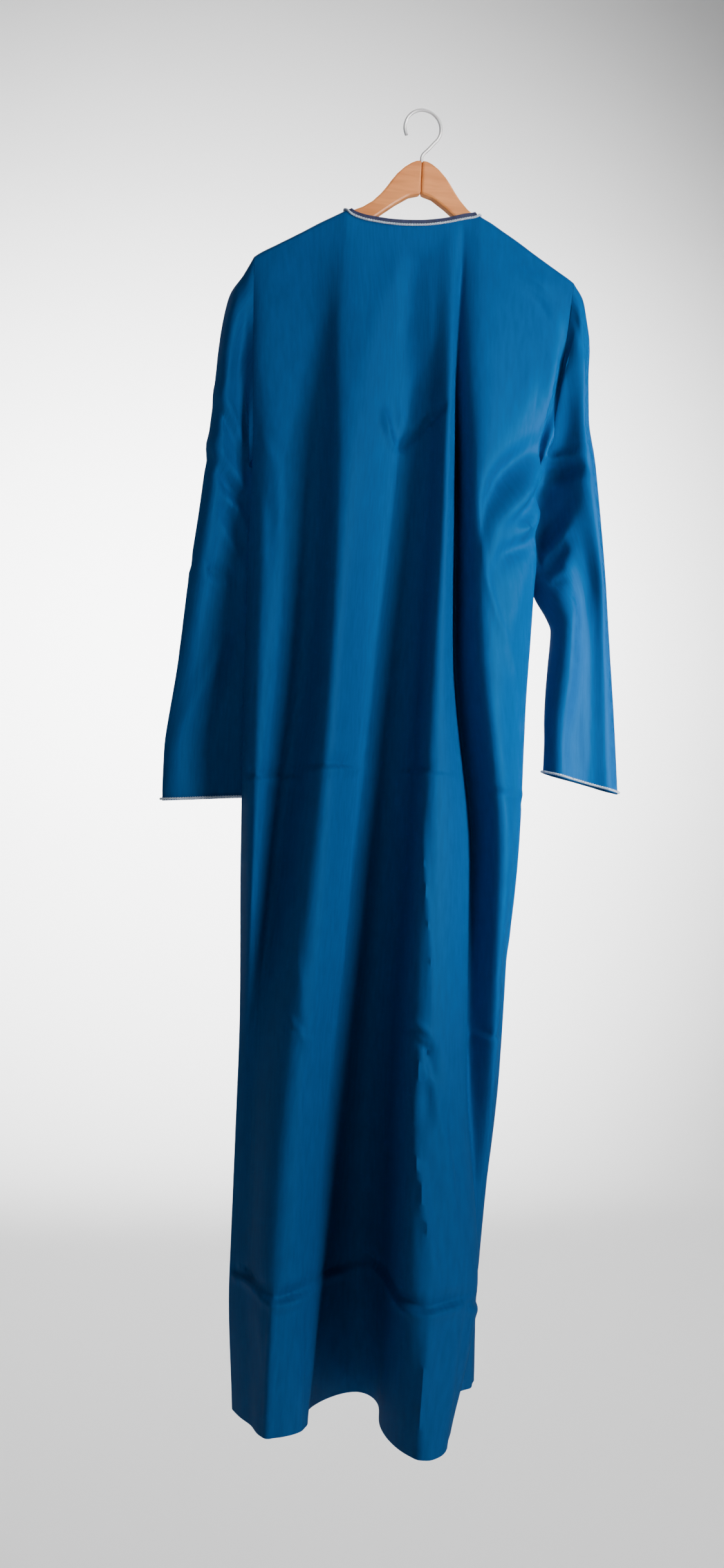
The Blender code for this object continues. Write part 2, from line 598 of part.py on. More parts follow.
def hanger_arm(name, side, cutter):
    """One wooden arm: its outline made HANGER_T thick, edges rounded, half the hook's bore cut."""
    outline = [(side * max(x, JOINT_GAP / 2.0), z) for x, z in HANGER_OUTLINE]
    count = len(outline)
    back = [(x, -HANGER_T / 2.0, z) for x, z in outline]
    front = [(x, HANGER_T / 2.0, z) for x, z in outline]
    sides = [(i, (i + 1) % count, (i + 1) % count + count, i + count) for i in range(count)]
    faces = [tuple(range(count))[::-1], tuple(range(count, 2 * count))] + sides
    item = add_mesh(name, back + front, faces, "wood", smooth=False)
    item.data.shade_smooth()
    item.data.set_sharp_from_angle(angle=SHARP_FROM_ANGLE)
    round_edges = item.modifiers.new("round_edges", "BEVEL")
    round_edges.width = HANGER_EDGE_R
    round_edges.segments = 2
    round_edges.limit_method = "ANGLE"
    round_edges.angle_limit = BEVEL_FROM_ANGLE
    bore = item.modifiers.new("bore", "BOOLEAN")
    bore.operation = "DIFFERENCE"
    bore.object = cutter
    return item


def bore_cutter():
    """Cylinder that cuts the hook's bore down into the joint of the two arms."""
    top = APEX_Z + 0.01
    bottom = STEM_END_Z - GAP
    body = bmesh.new()
    bmesh.ops.create_cone(body, cap_ends=True, segments=BORE_SIDES, radius1=WIRE_R + GAP,
                          radius2=WIRE_R + GAP, depth=top - bottom)
    mesh = bpy.data.meshes.new("bore_cutter")
    body.to_mesh(mesh)
    body.free()
    item = bpy.data.objects.new("bore_cutter", mesh)
    item.location = (0.0, 0.0, (top + bottom) / 2.0)
    item.hide_render = True
    item.display_type = "WIRE"
    bpy.context.scene.collection.objects.link(item)
    return item


def hanger_hook():
    """Bent wire hook: a straight stem, then most of a circle."""
    angles = np.radians(HOOK_ANGLES)
    mean_r = HOOK_R + WIRE_R
    circle = np.column_stack([mean_r * np.cos(angles), mean_r * np.sin(angles) - HOOK_R])
    route = np.concatenate([np.array(HOOK_STEM), circle])
    run = np.concatenate([[0.0], np.cumsum(np.hypot(*np.diff(route, axis=0).T))])
    line = spline(run, route, np.linspace(0.0, run[-1], HOOK_POINTS))
    curve = bpy.data.curves.new("hanger_hook", "CURVE")
    curve.dimensions = "3D"
    curve.bevel_depth = WIRE_R
    curve.bevel_resolution = 3
    curve.use_fill_caps = True
    wire = curve.splines.new("POLY")
    wire.points.add(len(line) - 1)
    for point, (x, z) in zip(wire.points, line):
        point.co = (x, 0.0, z, 1.0)
    curve.materials.append(finish("wire"))
    item = bpy.data.objects.new("hanger_hook", curve)
    bpy.context.scene.collection.objects.link(item)


def build():
    """Build the robe and its hanger."""
    clear_scene()
    back = make_panel(-1, BACK_FOLDS, NECK_BACK)
    front = make_panel(1, FRONT_FOLDS, NECK_FRONT)
    body_panel("back_panel", back)
    body_panel("front_panel", front)
    placket(front)
    neck_trims(back, front)
    sleeve("sleeve_left", "cuff_cord_left", back, front, -1, SLEEVE_LEFT)
    sleeve("sleeve_right", "cuff_cord_right", back, front, 1, SLEEVE_RIGHT)
    cutter = bore_cutter()
    hanger_arm("hanger_arm_left", -1, cutter)
    hanger_arm("hanger_arm_right", 1, cutter)
    hanger_hook()


build()
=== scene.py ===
import bpy
import bmesh
import numpy as np
from mathutils import Matrix, Vector


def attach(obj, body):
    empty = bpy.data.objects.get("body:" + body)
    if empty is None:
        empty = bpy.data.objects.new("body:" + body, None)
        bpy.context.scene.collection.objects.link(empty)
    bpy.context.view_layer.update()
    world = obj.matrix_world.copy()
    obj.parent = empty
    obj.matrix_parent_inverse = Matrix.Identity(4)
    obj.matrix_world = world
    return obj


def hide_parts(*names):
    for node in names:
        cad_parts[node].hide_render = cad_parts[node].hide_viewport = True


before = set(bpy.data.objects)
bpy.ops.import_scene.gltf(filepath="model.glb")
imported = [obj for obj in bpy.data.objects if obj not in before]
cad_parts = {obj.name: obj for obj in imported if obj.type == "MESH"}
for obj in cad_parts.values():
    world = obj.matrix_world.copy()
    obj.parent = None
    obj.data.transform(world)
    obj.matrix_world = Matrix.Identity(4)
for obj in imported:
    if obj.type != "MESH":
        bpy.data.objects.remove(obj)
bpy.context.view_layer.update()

# Thobe robe hung on a wooden hanger, seen from its back.
# Metres, +Z up, +X along the hanger, -Y at the garment's back.

# Cloth, placed as in the solids but with a thinner wall
HEM_Z = -1.562
UNDERARM_Z = -0.430
ARM_OUT = 0.0095
DRAPE_R = 0.0060
SEAM_HALF = 0.0006
GAP = 0.0003
CLOTH_T = 0.0007
PLACKET_START = 0.0046
PLACKET_SIDE_Z = -0.375
PLACKET_POINT_Z = -0.411
PLACKET_LIFT = 0.0012
PLACKET_MARGIN = 0.002

# Neck binding and twisted cords
BINDING_H = 0.0040
BINDING_OUT = 0.0003
BINDING_IN = 0.0012
CORD_R = 0.0016
CORD_OUT = CORD_R + 0.0002
CORD_BELOW_EDGE = 0.0022
CORD_STEP = 0.0011
CORD_PITCH = 0.0062
CORD_SMOOTHINGS = 4
PLY_R = 0.56 * CORD_R
PLY_OFFSET = 0.46 * CORD_R
PLY_SIDES = 8

# Fineness of the cloth
COLUMN_STEP = 0.0042
NECK_FINENESS = 1.6
SHOULDER_STEP = 0.008
NECK_CLEAR = 0.002
NEAR_TOP = (0.0, 0.0006, 0.0016, 0.0030, 0.0048, 0.0070, 0.0095, 0.0125)
CHEST_ROWS = 62
SKIRT_STEP = 0.0072
FINE_STEP = 0.0030
FINE_HALF = 0.021
HEM_CLEAR = 0.004
HEM_ROW = 0.0012
CREASE_LEVELS = (-0.797, -1.102, -1.402)
SLEEVE_STEPS = 104
CUFF_ROW = 0.02
SLEEVE_SMOOTHINGS = 3
CLOTH_RIM_ANGLE = 1.05
HANGER_EDGE_ANGLE = 0.7

# Creases: how they fade to their ends and how uneven they are along their lines
CREASE_REACH = 4.0
CREASE_FADE = 0.7
CREASE_UNEVEN = 0.22
CREASE_BEAT = 9.0
CREASE_SHIFT = 1.7
SLEEVE_CREASE_SHARE = 0.85
FREE_COLUMNS = 5.0
FREE_RINGS = 10.0
FREE_DEPTHS = (0.004, 0.030)

# Slow waves: seeds, heights, and ranges in radians a metre
PANEL_SEED = 11
SLEEVE_SEED = 21
PANEL_WAVE = 0.0011
SLEEVE_WAVE = 0.0008
WAVE_COUNT = 10
WAVES_ACROSS = (14.0, 46.0)
WAVES_DOWN = (3.0, 11.0)
WAVE_SHARES = (0.4, 1.0)

SHOULDER_LINE = (
    # distance from the middle, z
    (0.060, -0.1085),
    (0.072, -0.1190),
    (0.088, -0.1270),
    (0.100, -0.1340),
    (0.120, -0.1455),
    (0.140, -0.1580),
    (0.170, -0.1760),
    (0.190, -0.1880),
    (0.200, -0.1960),
)
NECK_BACK = (
    # x, z
    (-0.0880, -0.1270),
    (-0.0850, -0.1305),
    (-0.0785, -0.1342),
    (-0.0600, -0.1378),
    (-0.0300, -0.1393),
    (0.0000, -0.1375),
    (0.0300, -0.1322),
    (0.0550, -0.1248),
    (0.0660, -0.1222),
    (0.0720, -0.1190),
)
NECK_FRONT = (
    # x, z
    (-0.0880, -0.1270),
    (-0.0815, -0.1390),
    (-0.0730, -0.1550),
    (-0.0610, -0.1720),
    (-0.0450, -0.1880),
    (-0.0250, -0.1975),
    (-0.0080, -0.2000),
    (0.0090, -0.1975),
    (0.0290, -0.1880),
    (0.0450, -0.1720),
    (0.0570, -0.1540),
    (0.0655, -0.1340),
    (0.0720, -0.1190),
)
TIP_LEFT = -0.1960
TIP_RIGHT = 0.1925

# Fold lines down the body, left to right, placed at these heights
LEVELS = (-0.300, UNDERARM_Z, -0.480, -0.650, -0.900, -1.150, -1.400, HEM_Z)
SEAM_LEFT_X = (-0.193, -0.187, -0.187, -0.186, -0.180, -0.172, -0.172, -0.162)
SEAM_RIGHT_X = (0.181, 0.155, 0.156, 0.158, 0.154, 0.152, 0.142, 0.150)
PLACKET_Y = (0.022, 0.042, 0.047, 0.062, 0.076, 0.100, 0.138, 0.180)
BACK_FOLDS = (
    # fold, x at the top edge, then x and y at each level
    ("seam_left", TIP_LEFT, SEAM_LEFT_X,
     (-0.011, 0.002, 0.004, 0.008, 0.012, 0.012, 0.006, 0.006)),
    ("crest_a", -0.185,
     (-0.178, -0.168, -0.169, -0.172, -0.170, -0.165, -0.163, -0.154),
     (-0.017, -0.013, -0.015, -0.030, -0.034, 0.000, -0.010, -0.018)),
    ("valley_a", -0.135,
     (-0.119, -0.115, -0.116, -0.120, -0.140, -0.151, -0.151, -0.143),
     (-0.012, -0.008, -0.007, -0.004, -0.004, -0.016, -0.035, -0.045)),
    ("crest_b", NECK_BACK[0][0],
     (-0.093, -0.091, -0.091, -0.093, -0.105, -0.118, -0.126, -0.128),
     (-0.032, -0.049, -0.051, -0.058, -0.064, -0.068, -0.080, -0.078)),
    ("slope_b", -0.050,
     (-0.036, -0.039, -0.041, -0.048, -0.052, -0.060, -0.067, -0.075),
     (-0.022, -0.030, -0.030, -0.028, -0.024, -0.022, -0.026, -0.040)),
    ("wall_b", -0.033,
     (-0.021, -0.021, -0.022, -0.027, -0.033, -0.041, -0.054, -0.070),
     (-0.018, -0.018, -0.017, -0.012, -0.004, 0.006, 0.016, 0.003)),
    ("valley_b", -0.010,
     (0.000, 0.002, 0.002, 0.000, -0.006, -0.011, -0.009, -0.004),
     (-0.014, -0.010, -0.008, 0.000, 0.012, 0.026, 0.044, 0.055)),
    ("wall_c", 0.006,
     (0.013, 0.015, 0.015, 0.015, 0.008, 0.005, 0.007, 0.014),
     (-0.018, -0.016, -0.014, -0.008, 0.000, 0.010, 0.020, 0.025)),
    ("slope_c", 0.020,
     (0.024, 0.025, 0.025, 0.022, 0.016, 0.011, 0.012, 0.008),
     (-0.024, -0.030, -0.030, -0.030, -0.030, -0.030, -0.036, -0.041)),
    ("crest_c", 0.036,
     (0.039, 0.036, 0.036, 0.034, 0.034, 0.033, 0.036, 0.034),
     (-0.034, -0.052, -0.055, -0.062, -0.074, -0.094, -0.122, -0.139)),
    ("edge_c", 0.046,
     (0.046, 0.047, 0.048, 0.053, 0.074, 0.079, 0.094, 0.069),
     (-0.026, -0.039, -0.041, -0.046, -0.050, -0.070, -0.092, -0.129)),
    ("valley_c", 0.056,
     (0.055, 0.060, 0.063, 0.071, 0.104, 0.108, 0.122, 0.115),
     (-0.012, -0.006, -0.005, -0.002, 0.002, -0.002, -0.012, 0.038)),
    ("crest_d", NECK_BACK[-1][0],
     (0.073, 0.074, 0.078, 0.093, 0.127, 0.131, 0.134, 0.138),
     (-0.028, -0.045, -0.046, -0.044, -0.032, -0.018, 0.022, 0.062)),
    ("flat_d", 0.130,
     (0.125, 0.117, 0.119, 0.129, 0.141, 0.143, 0.139, 0.145),
     (-0.020, -0.030, -0.028, -0.018, -0.004, 0.006, 0.044, 0.076)),
    ("seam_right", TIP_RIGHT, SEAM_RIGHT_X,
     (-0.011, 0.002, 0.004, 0.010, 0.020, 0.030, 0.060, 0.0875)),
)
FRONT_FOLDS = (
    # fold, x at the top edge, then x and y at each level
    ("seam_left", TIP_LEFT, SEAM_LEFT_X,
     (0.014, 0.006, 0.008, 0.012, 0.016, 0.016, 0.010, 0.010)),
    ("tuck_e", -0.175,
     (-0.168, -0.162, -0.160, -0.158, -0.152, -0.148, -0.148, -0.146),
     (0.016, 0.013, 0.015, 0.020, 0.028, 0.036, 0.050, 0.062)),
    ("crest_e", -0.145,
     (-0.140, -0.134, -0.132, -0.130, -0.126, -0.124, -0.122, -0.120),
     (0.022, 0.042, 0.048, 0.066, 0.078, 0.098, 0.135, 0.172)),
    ("valley_e", -0.110,
     (-0.105, -0.098, -0.096, -0.094, -0.092, -0.090, -0.088, -0.088),
     (0.016, 0.026, 0.027, 0.030, 0.038, 0.054, 0.086, 0.112)),
    ("crest_f", NECK_FRONT[0][0],
     (-0.070, -0.062, -0.061, -0.060, -0.060, -0.060, -0.060, -0.060),
     (0.024, 0.048, 0.054, 0.074, 0.088, 0.112, 0.150, 0.190)),
    ("placket_left", -0.0325,
     (-0.0325, -0.0325, -0.0325, -0.033, -0.034, -0.035, -0.036, -0.037),
     PLACKET_Y),
    ("placket_right", 0.0065,
     (0.0065, 0.0065, 0.0065, 0.007, 0.008, 0.009, 0.010, 0.011),
     PLACKET_Y),
    ("crest_g", NECK_FRONT[-1][0],
     (0.044, 0.040, 0.039, 0.038, 0.036, 0.036, 0.036, 0.036),
     (0.024, 0.048, 0.054, 0.074, 0.088, 0.112, 0.150, 0.188)),
    ("valley_g", 0.100,
     (0.078, 0.070, 0.069, 0.068, 0.066, 0.066, 0.066, 0.066),
     (0.016, 0.024, 0.026, 0.030, 0.038, 0.056, 0.088, 0.112)),
    ("crest_h", 0.135,
     (0.114, 0.102, 0.102, 0.102, 0.100, 0.102, 0.102, 0.104),
     (0.022, 0.044, 0.050, 0.068, 0.080, 0.104, 0.146, 0.190)),
    ("tuck_h", 0.170,
     (0.155, 0.132, 0.133, 0.134, 0.132, 0.132, 0.126, 0.134),
     (0.016, 0.022, 0.024, 0.032, 0.044, 0.064, 0.104, 0.142)),
    ("seam_right", TIP_RIGHT, SEAM_RIGHT_X,
     (0.014, 0.006, 0.008, 0.014, 0.024, 0.034, 0.064, 0.0915)),
)

# Sleeve sections past the armhole
SLEEVE_LEFT = (
    # outer x, y, z, inner x, y, z, back at 1/3, 2/3, front at 1/3, 2/3
    (-0.2080, 0.001, -0.2150, -0.1900, 0.013, -0.4365, 0.013, 0.008, 0.012, 0.009),
    (-0.2230, 0.004, -0.2400, -0.1820, 0.023, -0.4420, 0.018, 0.009, 0.014, 0.010),
    (-0.2310, 0.007, -0.2850, -0.1750, 0.031, -0.4580, 0.021, 0.010, 0.015, 0.011),
    (-0.2355, 0.010, -0.3450, -0.1710, 0.037, -0.4780, 0.021, 0.011, 0.015, 0.011),
    (-0.2400, 0.014, -0.4100, -0.1710, 0.040, -0.5060, 0.019, 0.012, 0.014, 0.010),
    (-0.2465, 0.018, -0.4850, -0.1715, 0.040, -0.5500, 0.016, 0.013, 0.012, 0.009),
    (-0.2560, 0.022, -0.5700, -0.1680, 0.041, -0.6200, 0.013, 0.012, 0.010, 0.008),
    (-0.2650, 0.026, -0.6750, -0.1610, 0.045, -0.7000, 0.010, 0.011, 0.009, 0.008),
    (-0.2765, 0.030, -0.7800, -0.1570, 0.048, -0.7850, 0.009, 0.010, 0.008, 0.007),
    (-0.2765, 0.030, -0.8410, -0.1560, 0.048, -0.8320, 0.010, 0.011, 0.009, 0.008),
)
SLEEVE_RIGHT = (
    # outer x, y, z, inner x, y, z, back at 1/3, 2/3, front at 1/3, 2/3
    (0.2060, 0.000, -0.2080, 0.1590, 0.010, -0.4370, 0.014, 0.009, 0.012, 0.009),
    (0.2120, 0.002, -0.2300, 0.1510, 0.019, -0.4430, 0.018, 0.012, 0.014, 0.011),
    (0.2195, 0.004, -0.2750, 0.1450, 0.026, -0.4640, 0.022, 0.016, 0.015, 0.013),
    (0.2235, 0.006, -0.3350, 0.1420, 0.030, -0.4940, 0.024, 0.017, 0.016, 0.013),
    (0.2310, 0.008, -0.4000, 0.1450, 0.030, -0.5270, 0.026, 0.015, 0.016, 0.012),
    (0.2410, 0.010, -0.4650, 0.1680, 0.016, -0.5760, 0.027, 0.014, 0.015, 0.011),
    (0.2520, 0.010, -0.5450, 0.1930, 0.004, -0.6140, 0.022, 0.018, 0.013, 0.010),
    (0.2635, 0.010, -0.6400, 0.1900, 0.002, -0.6620, 0.014, 0.018, 0.011, 0.009),
    (0.2735, 0.008, -0.7350, 0.1830, 0.000, -0.7330, 0.012, 0.014, 0.010, 0.009),
    (0.2790, 0.004, -0.8100, 0.1825, -0.002, -0.7880, 0.014, 0.015, 0.012, 0.012),
)
EDGE_SHARE = 0.05
EDGE_LIFT = 0.70
EDGE_TURN = 0.008

# Creases: height out of the cloth (below zero a trough), half width across, how much the far
# side is lifted as a step, and the line as x and z
BACK_CREASES = (
    ("pack_upper_left", -0.0027, 0.0035, 0.0016,
     ((-0.183, -0.806), (-0.150, -0.805), (-0.118, -0.803))),
    ("pack_upper_mid", -0.0034, 0.0035, 0.0022,
     ((-0.112, -0.792), (-0.075, -0.789), (-0.042, -0.788))),
    ("pack_upper_right", -0.0022, 0.0035, 0.0014,
     ((-0.010, -0.789), (0.020, -0.790), (0.060, -0.793))),
    ("drag_a", 0.0018, 0.0045, 0.0,
     ((0.104, -0.796), (0.124, -0.808), (0.156, -0.816))),
    ("drag_b", -0.0018, 0.0045, 0.0,
     ((0.112, -0.812), (0.132, -0.820), (0.154, -0.826))),
    ("pack_mid_left", -0.0021, 0.0030, 0.0010,
     ((-0.122, -1.096), (-0.108, -1.100), (-0.092, -1.106))),
    ("pack_mid", -0.0015, 0.0030, 0.0008,
     ((0.010, -1.093), (0.026, -1.094), (0.042, -1.097))),
    ("pack_mid_right", -0.0024, 0.0035, 0.0012,
     ((0.108, -1.100), (0.126, -1.105), (0.150, -1.109))),
    ("pack_low_edge", -0.0031, 0.0035, 0.0023,
     ((-0.172, -1.396), (-0.160, -1.394), (-0.146, -1.393))),
    ("pack_low_left", -0.0051, 0.0040, 0.0039,
     ((-0.150, -1.391), (-0.134, -1.400), (-0.118, -1.403), (-0.098, -1.400), (-0.072, -1.396))),
    ("pack_low_mid", -0.0031, 0.0040, 0.0020,
     ((-0.066, -1.398), (-0.049, -1.403), (-0.032, -1.403), (0.002, -1.394))),
    ("pack_low_crest", -0.0059, 0.0042, 0.0043,
     ((0.006, -1.392), (0.020, -1.397), (0.040, -1.401), (0.064, -1.399), (0.092, -1.397))),
    ("pack_low_right", -0.0035, 0.0040, 0.0023,
     ((0.096, -1.404), (0.118, -1.416), (0.142, -1.420))),
    ("dart", -0.0014, 0.0018, 0.0,
     ((-0.063, -0.236), (-0.063, -0.296))),
    ("point_left", 0.0055, 0.0048, 0.0,
     ((-0.036, -0.366), (-0.033, -0.388), (-0.026, -0.405), (-0.014, -0.414))),
    ("point_right", -0.0060, 0.0048, 0.0,
     ((-0.016, -0.414), (0.003, -0.391), (0.018, -0.375), (0.034, -0.358))),
    ("point_inner", 0.0030, 0.0070, 0.0,
     ((-0.018, -0.350), (-0.014, -0.372), (-0.010, -0.390))),
    ("blade_edge", 0.0035, 0.0130, 0.0,
     ((0.172, -0.235), (0.170, -0.290), (0.166, -0.345), (0.160, -0.392))),
    ("blade_turn", 0.0140, 0.0300, 0.0,
     ((0.152, -0.270), (0.146, -0.420), (0.140, -0.550), (0.138, -0.700), (0.146, -0.850),
      (0.150, -0.980))),
    ("shoulder_a", -0.0022, 0.0030, 0.0010,
     ((0.112, -0.170), (0.138, -0.181), (0.164, -0.189))),
    ("shoulder_b", 0.0020, 0.0040, 0.0,
     ((0.120, -0.185), (0.146, -0.196), (0.170, -0.212))),
    ("shoulder_c", -0.0015, 0.0045, 0.0,
     ((0.128, -0.206), (0.152, -0.222), (0.168, -0.250))),
    ("soft_diagonal", 0.0022, 0.0140, 0.0,
     ((-0.020, -0.170), (-0.036, -0.215), (-0.058, -0.290), (-0.066, -0.340))),
    ("soft_trough", -0.0020, 0.0120, 0.0,
     ((0.004, -0.180), (-0.010, -0.240), (-0.022, -0.320))),
    ("armpit_ridge_a", 0.0112, 0.0120, 0.0,
     ((0.160, -0.404), (0.142, -0.432), (0.120, -0.466), (0.100, -0.494), (0.094, -0.520))),
    ("armpit_trough_a", -0.0125, 0.0130, 0.0,
     ((0.156, -0.384), (0.130, -0.412), (0.108, -0.440), (0.092, -0.474), (0.084, -0.530))),
    ("armpit_trough_b", -0.0074, 0.0070, 0.0,
     ((0.158, -0.436), (0.140, -0.462), (0.122, -0.492))),
    ("armpit_ridge_b", 0.0061, 0.0070, 0.0,
     ((0.156, -0.466), (0.140, -0.490), (0.118, -0.508))),
    ("armpit_trough_c", -0.0068, 0.0080, 0.0,
     ((0.156, -0.492), (0.134, -0.516), (0.112, -0.530), (0.100, -0.560))),
    ("armpit_ridge_c", 0.0046, 0.0120, 0.0,
     ((0.152, -0.530), (0.128, -0.560), (0.118, -0.620), (0.126, -0.690))),
    ("blade_fold", 0.0012, 0.0140, 0.0,
     ((0.150, -0.300), (0.128, -0.350), (0.108, -0.400), (0.094, -0.450))),
    ("lit_line", 0.0026, 0.0050, 0.0,
     ((0.082, -0.500), (0.092, -0.562), (0.108, -0.610), (0.124, -0.660), (0.142, -0.720))),
    ("right_slope_trough", -0.0022, 0.0070, 0.0,
     ((0.100, -0.560), (0.116, -0.640), (0.134, -0.720))),
    ("crest_line_upper", 0.0031, 0.0028, 0.0,
     ((0.024, -0.842), (0.030, -0.930), (0.038, -1.010), (0.040, -1.066))),
    ("crest_line_lower", 0.0048, 0.0032, 0.0,
     ((0.032, -1.100), (0.026, -1.170), (0.028, -1.230), (0.037, -1.290), (0.050, -1.372))),
    ("crest_dent_a", -0.0034, 0.0050, 0.0,
     ((0.048, -1.110), (0.040, -1.150), (0.038, -1.200))),
    ("crest_dent_b", -0.0029, 0.0055, 0.0,
     ((0.044, -1.235), (0.052, -1.290), (0.066, -1.350))),
    ("crest_dent_c", 0.0026, 0.0060, 0.0,
     ((0.060, -1.120), (0.066, -1.190), (0.078, -1.270))),
    ("left_line_upper", 0.0015, 0.0030, 0.0,
     ((-0.116, -0.930), (-0.114, -1.010), (-0.106, -1.070), (-0.100, -1.098))),
    ("left_line_lower", -0.0018, 0.0032, 0.0,
     ((-0.100, -1.104), (-0.096, -1.150), (-0.094, -1.230))),
    ("left_dent", -0.0014, 0.0040, 0.0,
     ((-0.122, -1.060), (-0.112, -1.088), (-0.104, -1.112))),
    ("left_side_pull", 0.0018, 0.0060, 0.0,
     ((-0.180, -0.400), (-0.160, -0.440), (-0.150, -0.520))),
    ("left_side_pull_low", -0.0016, 0.0060, 0.0,
     ((-0.184, -0.440), (-0.166, -0.490), (-0.160, -0.580))),
    ("hem_dent_left", -0.0030, 0.0070, 0.0,
     ((-0.150, -1.410), (-0.143, -1.480), (-0.137, -1.575))),
    ("hem_edge_left", 0.0050, 0.0050, 0.0,
     ((-0.126, -1.392), (-0.127, -1.480), (-0.127, -1.575))),
    ("hem_edge_inner", -0.0040, 0.0045, 0.0,
     ((-0.082, -1.420), (-0.080, -1.490), (-0.078, -1.575))),
    ("hem_edge_crest", 0.0060, 0.0050, 0.0,
     ((0.048, -1.385), (0.042, -1.470), (0.036, -1.580))),
    ("hem_dent_crest", -0.0035, 0.0080, 0.0,
     ((0.068, -1.405), (0.064, -1.470), (0.058, -1.570))),
    ("hem_edge_right", -0.0040, 0.0050, 0.0,
     ((0.100, -1.400), (0.090, -1.470), (0.082, -1.570))),
    ("crest_crumple_a", 0.0042, 0.0035, 0.0,
     ((0.022, -1.080), (0.040, -1.096), (0.052, -1.118))),
    ("crest_crumple_b", -0.0040, 0.0035, 0.0,
     ((0.020, -1.098), (0.036, -1.112), (0.046, -1.140))),
    ("crest_crumple_c", 0.0036, 0.0040, 0.0,
     ((0.026, -1.128), (0.044, -1.150), (0.058, -1.190))),
    ("crest_fan_a", 0.0036, 0.0045, 0.0,
     ((0.042, -1.160), (0.060, -1.210), (0.072, -1.270), (0.078, -1.330))),
    ("crest_fan_b", -0.0036, 0.0050, 0.0,
     ((0.056, -1.170), (0.074, -1.220), (0.088, -1.290))),
    ("left_crumple", 0.0030, 0.0035, 0.0,
     ((-0.118, -1.086), (-0.106, -1.100), (-0.098, -1.122))),
)
FRONT_CREASES = (
    ("pack_upper_left", -0.0032, 0.0035, 0.0018,
     ((-0.170, -0.800), (-0.120, -0.794), (-0.078, -0.797))),
    ("pack_upper_right", -0.0027, 0.0035, 0.0016,
     ((-0.040, -0.792), (0.020, -0.796), (0.090, -0.801), (0.140, -0.803))),
    ("pack_mid_left", -0.0019, 0.0032, 0.0010,
     ((-0.140, -1.104), (-0.112, -1.098), (-0.070, -1.100))),
    ("pack_mid_right", -0.0021, 0.0032, 0.0010,
     ((0.026, -1.103), (0.060, -1.098), (0.118, -1.106))),
    ("pack_low_left", -0.0047, 0.0040, 0.0035,
     ((-0.160, -1.398), (-0.124, -1.404), (-0.088, -1.398), (-0.048, -1.402))),
    ("pack_low_right", -0.0051, 0.0040, 0.0035,
     ((-0.030, -1.400), (0.022, -1.397), (0.066, -1.404), (0.104, -1.399), (0.140, -1.410))),
    ("shoulder_left", -0.0012, 0.0030, 0.0005,
     ((-0.170, -0.190), (-0.142, -0.184), (-0.120, -0.176))),
    ("shoulder_right", -0.0012, 0.0034, 0.0005,
     ((0.168, -0.194), (0.144, -0.190), (0.118, -0.178))),
    ("armpit_ridge_left", 0.0060, 0.0085, 0.0,
     ((-0.182, -0.400), (-0.164, -0.440), (-0.140, -0.486), (-0.128, -0.530))),
    ("armpit_trough_left", -0.0060, 0.0085, 0.0,
     ((-0.178, -0.372), (-0.154, -0.416), (-0.126, -0.460), (-0.112, -0.530))),
    ("armpit_low_left", -0.0045, 0.0080, 0.0,
     ((-0.182, -0.446), (-0.168, -0.490), (-0.156, -0.560))),
    ("armpit_ridge_right", 0.0060, 0.0085, 0.0,
     ((0.158, -0.398), (0.138, -0.440), (0.116, -0.480), (0.104, -0.540))),
    ("armpit_trough_right", -0.0060, 0.0090, 0.0,
     ((0.154, -0.370), (0.128, -0.410), (0.100, -0.460), (0.086, -0.530))),
    ("armpit_low_right", -0.0045, 0.0080, 0.0,
     ((0.156, -0.450), (0.140, -0.500), (0.132, -0.570))),
    ("chest_left", 0.0024, 0.0110, 0.0,
     ((-0.096, -0.180), (-0.092, -0.250), (-0.084, -0.330), (-0.074, -0.400))),
    ("chest_right", 0.0022, 0.0110, 0.0,
     ((0.082, -0.170), (0.078, -0.250), (0.066, -0.330), (0.054, -0.400))),
    ("crest_line_left", 0.0016, 0.0030, 0.0,
     ((-0.130, -0.860), (-0.126, -0.960), (-0.124, -1.060))),
    ("crest_line_right", 0.0018, 0.0032, 0.0,
     ((0.102, -1.130), (0.104, -1.240), (0.102, -1.360))),
    ("dent_left", -0.0024, 0.0055, 0.0,
     ((-0.122, -1.130), (-0.118, -1.210), (-0.124, -1.310))),
    ("dent_right", -0.0024, 0.0055, 0.0,
     ((0.100, -0.880), (0.098, -0.960), (0.104, -1.040))),
)
